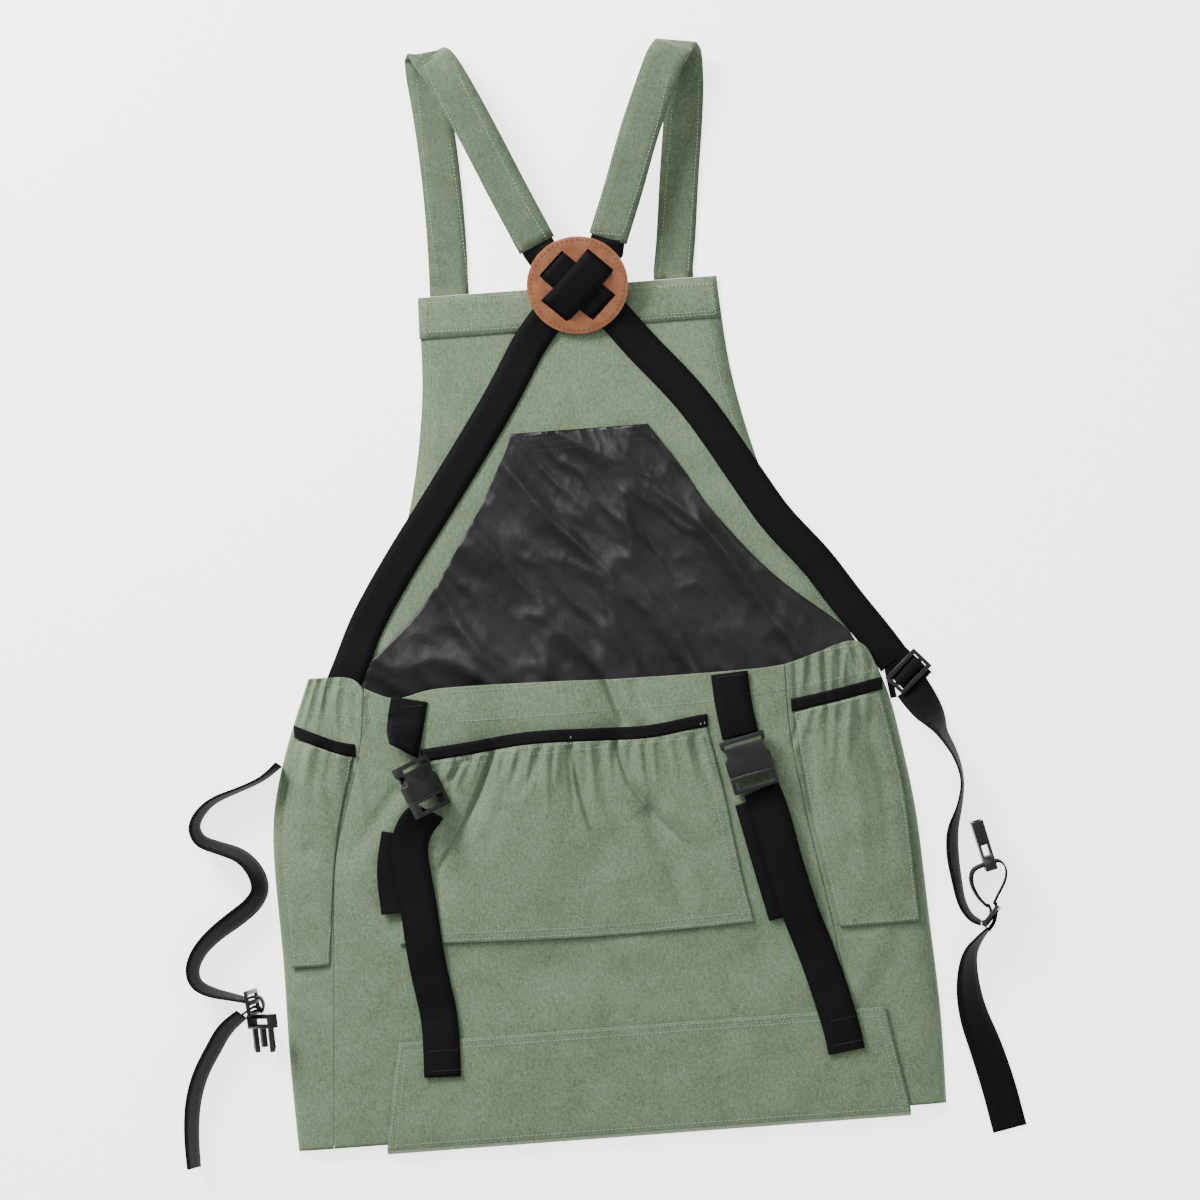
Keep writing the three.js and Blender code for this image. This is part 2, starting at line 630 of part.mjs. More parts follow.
// Webbing through the disc: out and high are measured from the disc's middle, in its own plane
const onTop = LEATHER / 2 + GAP + WEBBING / 2;
const beneath = -LEATHER / 2 - 2 * GAP - WEBBING / 2;
const inner = SLOT_RADIUS - 2.4;
const outer = SLOT_RADIUS + 2.4;

function throughDisc(angleDegrees, crossing) {
  const angle = THREE.MathUtils.degToRad(angleDegrees);
  const rows = [
    { out: discRadius - 4, high: beneath - SLOT_DIP },
    { out: outer, high: beneath },
    { out: outer - 1.6, high: beneath / 2 },
    { out: inner + 1.6, high: onTop / 2 },
    { out: inner, high: onTop },
    { out: 0.62 * SLOT_RADIUS, high: onTop + crossing },
    { out: -0.62 * SLOT_RADIUS, high: onTop + crossing },
    { out: -inner, high: onTop },
    { out: -inner - 1.6, high: onTop / 2 },
    { out: -outer + 1.6, high: beneath / 2 },
    { out: -outer, high: beneath },
    { out: 4 - discRadius, high: beneath - SLOT_DIP / 2 },
  ];
  const side = new THREE.Vector3(-Math.sin(angle), Math.cos(angle), 0).transformDirection(discFrame);
  return rows.map((row) => ({
    centre: onDisc(row.out * Math.cos(angle), row.out * Math.sin(angle), row.high),
    side: side.clone(),
  }));
}

// Across and up of the webbing below the disc: shares of half the hem and the bib's height
const toLeftWaist = [
  { across: -0.13, up: 0.86 },
  { across: -0.235, up: 0.715 },
  { across: -0.44, up: 0.47 },
  { across: -0.57, up: 0.32 },
  { across: -0.69, up: 0.165 },
  { across: -0.75, up: 0.06 },
  { across: -0.79, up: -0.01 },
];
const toRightWaist = [
  { across: 0.2, up: 0.845 },
  { across: 0.36, up: 0.68 },
  { across: 0.515, up: 0.46 },
  { across: 0.59, up: 0.355 },
  { across: 0.7, up: 0.24 },
  { across: 0.785, up: 0.13 },
  { across: 0.875, up: 0.02 },
  { across: 0.92, up: -0.04 },
];

function downToWaist(table, steps) {
  const points = table.map((row) => ({ x: row.across * halfHem, y: row.up * BIB_HEIGHT }));
  return laidStrap(points, steps, WEBBING_WIDTH, WEBBING, [backPanel, band, lining], 4);
}

function crossWebbing(name, shoulder, angle, crossing, table) {
  const last = shoulder[shoulder.length - 1];
  const before = shoulder[shoulder.length - 2];
  const way = last.centre.clone().sub(before.centre).normalize();
  const start = [3 * GAP, 12 * GAP].map((run) => (
    { centre: last.centre.clone().addScaledVector(way, run), side: last.side.clone() }));
  const middle = throughDisc(angle, crossing);
  const down = downToWaist(table, 22);
  if (middle[0].side.dot(last.side) < 0) middle.forEach((section) => section.side.negate());
  if (down[0].side.dot(middle[11].side) < 0) down.forEach((section) => section.side.negate());
  return add(name, strap([...start, ...middle, ...down], WEBBING_WIDTH, WEBBING), webbing);
}

crossWebbing('cross_webbing_from_left', leftShoulderSections, 135, 0, toRightWaist);
crossWebbing('cross_webbing_from_right', rightShoulderSections, 45, WEBBING + GAP, toLeftWaist);

// Pouch straps: laid on the front, the pockets and the flap, across and down as in the skirt's table
const onSkirt = (rows) => rows.map((row) => (
  { x: row.across * halfHem, y: -row.down * SKIRT_LENGTH, lean: row.lean }));
const underStraps = [...front, centrePocket, centreBinding, flap];

const rightStrap = {
  upper: [{ across: 0.407, down: 0.03 }, { across: 0.413, down: 0.1 }, { across: 0.427, down: 0.168 }],
  lower: [
    { across: 0.478, down: 0.287 }, { across: 0.5, down: 0.335 }, { across: 0.531, down: 0.446 },
    { across: 0.57, down: 0.56 }, { across: 0.609, down: 0.647 }, { across: 0.64, down: 0.727 },
    { across: 0.672, down: 0.827 }, { across: 0.68, down: 0.87 },
  ],
  spare: [{ across: 0.45, down: 0.31 }, { across: 0.49, down: 0.444 }, { across: 0.528, down: 0.566 }],
};
const leftStrap = {
  upper: [
    { across: -0.577, down: 0.035 }, { across: -0.592, down: 0.08 },
    { across: -0.6, down: 0.11, lean: 22 }, { across: -0.605, down: 0.145, lean: 48 },
  ],
  lower: [
    { across: -0.538, down: 0.281, lean: 48 }, { across: -0.575, down: 0.3, lean: 20 },
    { across: -0.61, down: 0.35 }, { across: -0.598, down: 0.474 },
    { across: -0.584, down: 0.607 }, { across: -0.559, down: 0.739 }, { across: -0.563, down: 0.86 },
  ],
  spare: [{ across: -0.637, down: 0.325 }, { across: -0.66, down: 0.406 }, { across: -0.656, down: 0.496 }],
};

function pouchStrap(side, rows) {
  const upper = laidStrap(onSkirt(rows.upper), 6, POUCH_STRAP_WIDTH, WEBBING, underStraps, 5);
  add(`pouch_strap_${side}_upper`, strap(upper, POUCH_STRAP_WIDTH, WEBBING), webbing);
  const spareRows = laidStrap(onSkirt(rows.spare), 10, POUCH_STRAP_WIDTH, WEBBING, underStraps, 6);
  const spare = add(`pouch_strap_${side}_spare`, strap(spareRows, POUCH_STRAP_WIDTH, WEBBING), webbing);
  const lowerRows = laidStrap(onSkirt(rows.lower), 22, POUCH_STRAP_WIDTH, WEBBING, [...underStraps, spare], 8,
    2 * GAP);
  const lower = add(`pouch_strap_${side}_lower`, strap(lowerRows, POUCH_STRAP_WIDTH, WEBBING), webbing);
  return { upper: upper[upper.length - 1], lower: lowerRows[0], pieces: [spare, lower] };
}

const rightEnds = pouchStrap('right', rightStrap);
const leftEnds = pouchStrap('left', leftStrap);

// Buckle halves, each in a frame of its own: x across, y along and z through its thickness

function solidOf(geometry) {
  const closed = finish(geometry);
  return new wasm.Manifold(new wasm.Mesh({
    numProp: 3,
    vertProperties: closed.attributes.position.array,
    triVerts: new Uint32Array(closed.index.array),
  }));
}

function geometryOf(solid) {
  const mesh = solid.getMesh();
  const geometry = new THREE.BufferGeometry();
  geometry.setAttribute('position', new THREE.BufferAttribute(mesh.vertProperties, 3));
  geometry.setIndex(new THREE.BufferAttribute(mesh.triVerts, 1));
  return geometry;
}

function block(width, length, thickness, x = 0, y = 0, z = 0) {
  return new THREE.BoxGeometry(width, length, thickness).translate(x, y, z);
}

function plate(points, thickness) {
  const shape = new THREE.Shape(points.map(([x, y]) => new THREE.Vector2(x, y)));
  const body = new THREE.ExtrudeGeometry(shape, { depth: thickness, bevelEnabled: false });
  return body.translate(0, 0, -thickness / 2);
}

// Socket: its mouth faces -y and a slot for the strap lies at its +y end
function socketSolid(width, length, thickness) {
  const half = width / 2;
  const waist = half * 0.84;
  const outline = plate([
    [-half, 0], [half, 0], [half, length * 0.42], [waist, length * 0.52], [waist, length * 0.68],
    [half, length * 0.8], [half, length], [-half, length], [-half, length * 0.8], [-waist, length * 0.68],
    [-waist, length * 0.52], [-half, length * 0.42],
  ], thickness);
  const cavityDepth = length * 0.72;
  const hollow = block(width - 2 * BUCKLE_WALL, cavityDepth + 1, thickness - 2 * BUCKLE_WALL,
    0, (cavityDepth - 1) / 2, 0);
  const window = block(width + 1, length * 0.2, thickness - 2 * BUCKLE_WALL, 0, length * 0.58, 0);
  const slot = block(width - 2 * BUCKLE_BAR, BUCKLE_BAR, thickness + 1, 0, length - 1.6 * BUCKLE_BAR, 0);
  return solidOf(outline).subtract(solidOf(hollow)).subtract(solidOf(window)).subtract(solidOf(slot));
}

// Prongs: two side prongs and a guide reach up from a base with a bar for the strap
function prongsSolid(width, reach, thickness, baseLength) {
  const inner = width / 2 - BUCKLE_WALL - GAP;
  const thin = thickness - 2 * BUCKLE_WALL - 2 * GAP;
  let body = solidOf(block(width, baseLength, thickness, 0, -baseLength / 2, 0));
  body = body.subtract(solidOf(block(width - 2 * BUCKLE_BAR, baseLength - 2 * BUCKLE_BAR, thickness + 1,
    0, -baseLength / 2, 0)));
  for (const hand of [-1, 1]) {
    const prong = plate([
      [hand * (inner - 5), -1], [hand * (inner - 1), -1], [hand * (inner - 1), reach * 0.7],
      [hand * inner, reach * 0.75], [hand * (inner - 3), reach], [hand * (inner - 5), reach],
    ], thin);
    body = body.add(solidOf(hand > 0 ? prong : plate([
      [-(inner - 5), reach], [-(inner - 3), reach], [-inner, reach * 0.75],
      [-(inner - 1), reach * 0.7], [-(inner - 1), -1], [-(inner - 5), -1],
    ], thin)));
  }
  return body.add(solidOf(block(5, reach * 0.8, thin, 0, reach * 0.4 - 0.5, 0)));
}

// Places a piece by the point under its frame's origin, its heading from +Y and its lean
function set(geometry, centre, headingDegrees, leanDegrees) {
  const frame = new THREE.Matrix4().makeRotationZ(THREE.MathUtils.degToRad(headingDegrees));
  frame.multiply(new THREE.Matrix4().makeRotationY(THREE.MathUtils.degToRad(leanDegrees)));
  frame.setPosition(centre);
  return geometry.applyMatrix4(frame);
}

// The lowest point of a geometry comes to rest at a height
function settle(geometry, height) {
  geometry.computeBoundingBox();
  return geometry.translate(0, 0, height - geometry.boundingBox.min.z);
}

const prongReach = BUCKLE_LENGTH * 0.66;

function pouchBuckle(side, ends, heading, lean, seat, carriers) {
  const way = new THREE.Vector3(-Math.sin(heading * Math.PI / 180), Math.cos(heading * Math.PI / 180), 0);
  const top = ends.upper.centre.clone().addScaledVector(way, -seat);
  const joint = top.clone().addScaledVector(way, -BUCKLE_LENGTH);
  const radius = lean ? 8 : BUCKLE_WIDTH / 2;
  const heights = [0, 0.5, 1].map((share) => {
    const at = top.clone().addScaledVector(way, -share * (BUCKLE_LENGTH + BUCKLE_TAIL));
    return topAt(carriers, at.x, at.y, radius);
  });
  const rest = Math.max(...heights) + GAP;
  const socket = set(geometryOf(socketSolid(BUCKLE_WIDTH, BUCKLE_LENGTH, BUCKLE_THICKNESS)), joint, heading, lean);
  const prongs = set(geometryOf(prongsSolid(BUCKLE_WIDTH, prongReach, BUCKLE_THICKNESS, BUCKLE_TAIL)),
    joint.clone().addScaledVector(way, -GAP), heading, lean);
  socket.computeBoundingBox();
  const rise = rest - socket.boundingBox.min.z;
  add(`pouch_buckle_${side}_socket`, socket.translate(0, 0, rise), plastic);
  add(`pouch_buckle_${side}_prongs`, prongs.translate(0, 0, rise), plastic);
}

pouchBuckle('right', rightEnds, 13, 0, 2 * GAP, [...underStraps, ...rightEnds.pieces]);
pouchBuckle('left', leftEnds, 22, 48, 11, underStraps);

// Slider: a frame with two slots, x across the strap and y along it
function sliderSolid() {
  const slotLength = (SLIDER_WIDTH - 3 * SLIDER_BAR) / 2;
  const slotWidth = SLIDER_LENGTH - 2 * SLIDER_BAR * 0.8;
  let body = solidOf(block(SLIDER_LENGTH, SLIDER_WIDTH, SLIDER_THICKNESS));
  for (const hand of [-1, 1]) {
    body = body.subtract(solidOf(block(slotWidth, slotLength, SLIDER_THICKNESS + 1,
      0, hand * (slotLength + SLIDER_BAR) / 2, 0)));
  }
  return body;
}

const floorRows = (rows, start, reach, drop) => rows.map((row) => (
  { x: start.x + row.out * reach, y: start.y - row.drop * drop, lean: row.lean ?? 88 }));

function floorStrap(name, points, steps, lift = GAP) {
  const sections = laidStrap(points, steps, WEBBING_WIDTH, WEBBING, [], 0, lift);
  return add(name, strap(sections, WEBBING_WIDTH, WEBBING), webbing);
}

function floorPiece(name, geometry, x, y, heading, lean, lift = GAP) {
  const placed = set(geometry, new THREE.Vector3(x, y, 0), heading, lean);
  return add(name, settle(placed, lift), plastic);
}

// Right tie: slider and its anchor at the waist, strap, slider, loop through the buckle, free end
const rightTie = [
  { out: 0.05, drop: 0.038, lean: 2 }, { out: 0.24, drop: 0.13, lean: 30 },
  { out: 0.42, drop: 0.22, lean: 72 }, { out: 0.6, drop: 0.32, lean: 80 },
  { out: 0.67, drop: 0.42, lean: 84 }, { out: 0.6, drop: 0.52, lean: 80 },
  { out: 0.48, drop: 0.61, lean: 70 }, { out: 0.45, drop: 0.7, lean: 68 },
  { out: 0.48, drop: 0.81, lean: 72 }, { out: 0.54, drop: 0.91, lean: 76 },
  { out: 0.66, drop: 0.965, lean: 80 }, { out: 0.78, drop: 0.985, lean: 84 },
];
const rightTail = [
  { out: 0.13, drop: 0, lean: 82 }, { out: -0.02, drop: 0.05, lean: 76 },
  { out: -0.17, drop: 0.12, lean: 64 }, { out: -0.23, drop: 0.26, lean: 48 },
  { out: -0.18, drop: 0.42, lean: 34 }, { out: -0.05, drop: 0.57, lean: 20 },
  { out: 0.1, drop: 0.77, lean: 8 }, { out: 0.23, drop: 1, lean: 1 },
];
// The loop round the buckle's bar, from the bar's slot: out to both sides and drop towards the slider
const rightLoop = [
  { out: -0.1, drop: 1.25 }, { out: -0.28, drop: 0.95 }, { out: -0.4, drop: 0.5 },
  { out: -0.35, drop: 0.18 }, { out: -0.2, drop: 0.065 }, { out: 0, drop: 0 }, { out: 0.2, drop: -0.065 },
  { out: 0.33, drop: 0.14 }, { out: 0.31, drop: 0.5 }, { out: 0.12, drop: 0.95 }, { out: 0.03, drop: 1.19 },
];
const rightSlide = { x: 0.955 * halfHem, y: -0.07 * SKIRT_LENGTH };
const rightStop = rightTie[rightTie.length - 1];
const rightEnd = {
  x: rightSlide.x + rightStop.out * RIGHT_TIE_REACH,
  y: rightSlide.y - rightStop.drop * RIGHT_TIE_DROP,
};
const socketSlot = WAIST_BUCKLE_LENGTH - 1.6 * BUCKLE_BAR;
const socketWay = new THREE.Vector2(0, 1).rotateAround(new THREE.Vector2(), SOCKET_HEADING * Math.PI / 180);
const slotPoint = new THREE.Vector2(rightEnd.x + 11, rightEnd.y + 51);
const socketMouth = slotPoint.clone().addScaledVector(socketWay, -socketSlot);
floorStrap('waist_strap_right', floorRows(rightTie, rightSlide, RIGHT_TIE_REACH, RIGHT_TIE_DROP), 34);
// The anchor: a short webbing from the side seam to the waist slider
const anchorRows = [{ across: 0.892, down: 0.083 }, { across: 0.912, down: 0.081 }];
add('slider_anchor', strap(laidStrap(onSkirt(anchorRows), 2, ANCHOR_WIDTH, WEBBING, [], 0, GAP),
  ANCHOR_WIDTH, WEBBING), webbing);
floorPiece('waist_slider', geometryOf(sliderSolid()), rightSlide.x + 1, rightSlide.y + 5, 42, 4, WEBBING + 2 * GAP);
floorPiece('right_slider', geometryOf(sliderSolid()), rightEnd.x + 9.4, rightEnd.y + 5, -42, 82);
floorStrap('waist_tail_right', floorRows(rightTail, { x: rightEnd.x - 1.2, y: rightEnd.y - 5.3 },
  RIGHT_TIE_REACH, RIGHT_TAIL_DROP), 20);
floorStrap('right_buckle_loop', floorRows(rightLoop, slotPoint, BUCKLE_LOOP_WIDTH, BUCKLE_LOOP_LENGTH),
  30, BUCKLE_BAR + 2 * GAP);
floorPiece('waist_buckle_socket', geometryOf(socketSolid(BUCKLE_WIDTH, WAIST_BUCKLE_LENGTH,
  WAIST_BUCKLE_THICKNESS)), socketMouth.x, socketMouth.y, SOCKET_HEADING, 90);

// Left tie
const leftTie = [
  { out: -0.01, drop: 0.015, lean: 80 }, { out: -0.18, drop: 0.07, lean: 83 },
  { out: -0.42, drop: 0.11, lean: 83 }, { out: -0.66, drop: 0.146, lean: 80 },
  { out: -0.8, drop: 0.195, lean: 77 }, { out: -0.87, drop: 0.254, lean: 75 },
  { out: -0.82, drop: 0.312, lean: 73 }, { out: -0.66, drop: 0.346, lean: 73 },
  { out: -0.44, drop: 0.39, lean: 70 }, { out: -0.31, drop: 0.463, lean: 66 },
  { out: -0.28, drop: 0.537, lean: 64 }, { out: -0.36, drop: 0.595, lean: 62 },
  { out: -0.53, drop: 0.65, lean: 60 }, { out: -0.74, drop: 0.71, lean: 64 },
  { out: -0.91, drop: 0.78, lean: 68 }, { out: -0.99, drop: 0.854, lean: 71 },
  { out: -0.96, drop: 0.917, lean: 75 }, { out: -0.82, drop: 0.956, lean: 78 },
  { out: -0.64, drop: 0.98, lean: 82 }, { out: -0.49, drop: 1, lean: 85 },
];
const leftTail = [
  { out: 0, drop: 0, lean: 70 }, { out: -0.17, drop: 0.09, lean: 66 },
  { out: -0.31, drop: 0.23, lean: 66 }, { out: -0.44, drop: 0.38, lean: 67 },
  { out: -0.53, drop: 0.56, lean: 68 }, { out: -0.57, drop: 0.78, lean: 70 },
  { out: -0.57, drop: 1, lean: 72 },
];
const leftStart = { x: skirtAt('leftEdge', 0.15) - 5.4, y: -0.148 * SKIRT_LENGTH };
const leftEnd = { x: leftStart.x - 0.49 * LEFT_TIE_REACH, y: leftStart.y - LEFT_TIE_DROP };
floorStrap('waist_strap_left', floorRows(leftTie, leftStart, LEFT_TIE_REACH, LEFT_TIE_DROP), 48);
floorPiece('left_slider', geometryOf(sliderSolid()), leftEnd.x + 4.9, leftEnd.y - 2, 5, 78);
floorPiece('waist_buckle_prongs', geometryOf(prongsSolid(WAIST_PRONG_WIDTH, WAIST_PRONG_REACH,
  BUCKLE_THICKNESS, WAIST_BUCKLE_BASE)), leftEnd.x + 12.4, leftEnd.y - 25.2, 182, 55);
floorStrap('waist_tail_left', floorRows(leftTail, { x: leftEnd.x - 5.1, y: leftEnd.y - 12 },
  LEFT_TIE_REACH, LEFT_TAIL_DROP), 18);

export default apron;
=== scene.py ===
import math
import random

import bmesh
import bpy
import numpy as np
from mathutils import Matrix, Vector, noise
from mathutils.bvhtree import BVHTree


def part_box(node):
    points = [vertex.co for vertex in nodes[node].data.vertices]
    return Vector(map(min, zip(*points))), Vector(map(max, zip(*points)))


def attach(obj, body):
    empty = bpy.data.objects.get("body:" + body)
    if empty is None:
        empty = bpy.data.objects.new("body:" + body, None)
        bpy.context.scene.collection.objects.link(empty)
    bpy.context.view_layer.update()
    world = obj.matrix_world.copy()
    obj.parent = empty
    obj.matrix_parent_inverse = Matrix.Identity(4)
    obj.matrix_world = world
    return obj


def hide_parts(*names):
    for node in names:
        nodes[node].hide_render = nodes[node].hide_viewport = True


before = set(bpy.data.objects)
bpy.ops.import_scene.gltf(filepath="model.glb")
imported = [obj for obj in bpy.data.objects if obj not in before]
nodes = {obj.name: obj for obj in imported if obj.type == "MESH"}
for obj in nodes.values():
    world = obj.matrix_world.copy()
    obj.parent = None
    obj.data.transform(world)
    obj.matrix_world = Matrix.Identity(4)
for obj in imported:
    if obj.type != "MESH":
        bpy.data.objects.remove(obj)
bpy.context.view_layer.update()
print("frame loaded")

# The photo's scale, tilt and the pixel of the waist's middle
mm = 0.001
pixelSize = 0.87 * mm
photoTilt = math.radians(4.3)
waistPixel = (605, 668)
waistShift = 8 * mm
photoWidth = 1200
viewCentre = (8.1 * mm, 59.3 * mm)
above = 0.2  # rays start here, over everything


def spot(px, py):
    across, down = px - waistPixel[0], py - waistPixel[1]
    cosine, sine = math.cos(photoTilt), math.sin(photoTilt)
    return (pixelSize * (across * cosine - down * sine) + waistShift,
            pixelSize * (-across * sine - down * cosine))


# Materials
def startMaterial(name, roughness):
    material = bpy.data.materials.new(name)
    material.use_nodes = True
    tree = material.node_tree
    shader = tree.nodes["Principled BSDF"]
    shader.inputs["Roughness"].default_value = roughness
    return material, tree, shader


def addNode(tree, kind, inputs=(), **settings):
    made = tree.nodes.new(kind)
    for key, value in settings.items():
        setattr(made, key, value)
    for key, value in dict(inputs).items():
        if isinstance(value, bpy.types.NodeSocket):
            tree.links.new(value, made.inputs[key])
        else:
            made.inputs[key].default_value = value
    return made


def stretched(tree, scale=(1, 1, 1), turn=0):
    coords = addNode(tree, "ShaderNodeTexCoord")
    return addNode(tree, "ShaderNodeMapping", {
        "Vector": coords.outputs["Object"], "Scale": scale, "Rotation": (0, 0, math.radians(turn))}
    ).outputs["Vector"]


def noiseAt(tree, place, scale, detail=3, rough=0.55):
    return addNode(tree, "ShaderNodeTexNoise", {
        "Vector": place, "Scale": scale, "Detail": detail, "Roughness": rough}).outputs["Fac"]


def bandsAt(tree, place, period, warp=1.0):
    return addNode(tree, "ShaderNodeTexWave", {
        "Vector": place, "Scale": 2 * math.pi / (20 * period), "Distortion": warp, "Detail": 1},
        wave_type="BANDS", bands_direction="X").outputs["Fac"]


def blendOf(tree, share, first, second):
    mixed = addNode(tree, "ShaderNodeMix", {0: share, 2: first, 3: second}, data_type="FLOAT")
    return mixed.outputs[0]


def rampOf(tree, value, stops):
    ramp = addNode(tree, "ShaderNodeValToRGB", {"Fac": value})
    elements = ramp.color_ramp.elements
    while len(elements) < len(stops):
        elements.new(0.5)
    for element, (place, colour) in zip(elements, stops):
        element.position = place
        element.color = (*colour, 1)
    return ramp.outputs["Color"]


def bumpOf(tree, height, distance, strength=1.0, normal=None):
    inputs = {"Height": height, "Distance": distance, "Strength": strength}
    if normal:
        inputs["Normal"] = normal
    return addNode(tree, "ShaderNodeBump", inputs).outputs["Normal"]


# The photo's colours, less the light that makes its paper white
paperLight = 1.6


def linear(red, green, blue):
    return tuple((((c / 255 + 0.055) / 1.055) ** 2.4 if c > 10 else c / 255 / 12.92) / paperLight
                 for c in (red, green, blue))


def canvasMaterial(name, shade=1):
    material, tree, shader = startMaterial(name, 0.92)
    heather = noiseAt(tree, stretched(tree, (1, 0.45, 1), 35), 520, 4, 0.72)
    speckle = noiseAt(tree, stretched(tree, (0.5, 1, 1), 12), 780, 3, 0.72)
    mottle = noiseAt(tree, stretched(tree), 38, 4)
    twill = bandsAt(tree, stretched(tree, turn=58), 1.3 * mm, 1.5)
    grain = blendOf(tree, 0.5, heather, speckle)
    woven = blendOf(tree, 0.2, grain, twill)
    tone = blendOf(tree, 0.14, woven, mottle)
    stops = [(0.34, (88, 104, 80)), (0.5, (127, 146, 117)), (0.66, (163, 181, 152))]
    shaded = [(place, linear(*(shade * part for part in parts))) for place, parts in stops]
    colour = rampOf(tree, tone, shaded)
    tree.links.new(colour, shader.inputs["Base Color"])
    puckers = bumpOf(tree, noiseAt(tree, stretched(tree), 55, 3), 1.6 * mm, 0.35)
    tree.links.new(bumpOf(tree, woven, 0.35 * mm, 0.6, puckers), shader.inputs["Normal"])
    shader.inputs["Sheen Weight"].default_value = 0.12
    shader.inputs["Specular IOR Level"].default_value = 0.15
    return material


def webbingMaterial():
    material, tree, shader = startMaterial("blackWebbing", 0.78)
    ribs = bandsAt(tree, stretched(tree, turn=33), 1.7 * mm, 0.6)
    cross = bandsAt(tree, stretched(tree, turn=-57), 2.1 * mm, 0.6)
    fuzz = noiseAt(tree, stretched(tree), 700, 3)
    weave = blendOf(tree, 0.5, ribs, cross)
    tone = blendOf(tree, 0.5, weave, fuzz)
    colour = rampOf(tree, tone, [(0.3, linear(5, 5, 6)), (0.75, linear(26, 26, 30))])
    tree.links.new(colour, shader.inputs["Base Color"])
    tree.links.new(bumpOf(tree, tone, 0.45 * mm, 0.8), shader.inputs["Normal"])
    shader.inputs["Specular IOR Level"].default_value = 0.12
    return material


def liningMaterial():
    material, tree, shader = startMaterial("liningNylon", 0.42)
    threads = bandsAt(tree, stretched(tree, turn=4), 0.9 * mm, 0.3)
    # Painted sheen: the ramp's lighter streaks stand in for the nylon's shine over its dark own colour
    paintedSheenPatches = noiseAt(tree, stretched(tree, (1, 2.2, 1), 12), 9, 3)
    colour = rampOf(tree, paintedSheenPatches, [(0.38, linear(11, 11, 13)), (0.5, linear(20, 19, 23)),
                                    (0.62, linear(36, 35, 40))])
    tree.links.new(colour, shader.inputs["Base Color"])
    creases = noiseAt(tree, stretched(tree, (1, 0.5, 1), 40), 42, 4, 0.5)
    crinkle = bumpOf(tree, creases, 2.6 * mm, 0.5)
    tree.links.new(bumpOf(tree, threads, 0.12 * mm, 0.4, crinkle), shader.inputs["Normal"])
    shader.inputs["Specular IOR Level"].default_value = 0.36
    shader.inputs["Sheen Weight"].default_value = 0.05
    return material


def leatherMaterial():
    material, tree, shader = startMaterial("tanLeather", 0.5)
    grain = addNode(tree, "ShaderNodeTexVoronoi", {"Vector": stretched(tree), "Scale": 900},
                    feature="DISTANCE_TO_EDGE").outputs["Distance"]
    cloud = noiseAt(tree, stretched(tree), 90, 4)
    colour = rampOf(tree, cloud, [(0.3, linear(157, 95, 60)), (0.55, linear(177, 112, 75)),
                                  (0.75, linear(193, 128, 90))])
    tree.links.new(colour, shader.inputs["Base Color"])
    tree.links.new(bumpOf(tree, grain, 0.15 * mm, 0.4), shader.inputs["Normal"])
    return material


def plasticMaterial():
    material, tree, shader = startMaterial("satinPlastic", 0.42)
    texture = noiseAt(tree, stretched(tree), 1500, 2)
    colour = rampOf(tree, noiseAt(tree, stretched(tree), 60, 2),
                    [(0.3, linear(16, 16, 19)), (0.7, linear(26, 26, 30))])
    tree.links.new(colour, shader.inputs["Base Color"])
    tree.links.new(bumpOf(tree, texture, 0.05 * mm, 0.3), shader.inputs["Normal"])
    shader.inputs["Specular IOR Level"].default_value = 0.4
    return material


def threadMaterial(name, colour):
    material, tree, shader = startMaterial(name, 0.7)
    strands = noiseAt(tree, stretched(tree), 2500, 2)
    lighter = tuple(min(1, 1.25 * c) for c in colour)
    tree.links.new(rampOf(tree, strands, [(0.35, colour), (0.65, lighter)]), shader.inputs["Base Color"])
    return material


canvas = canvasMaterial("canvasTwill")
strapCanvas = canvasMaterial("strapCanvas", 0.86)
webbing = webbingMaterial()
nylon = liningMaterial()
leather = leatherMaterial()
plastic = plasticMaterial()
greenThread = threadMaterial("greenThread", linear(165, 180, 157))
tanThread = threadMaterial("tanThread", linear(128, 70, 42))
blackThread = threadMaterial("blackThread", linear(58, 57, 62))
print("materials made")

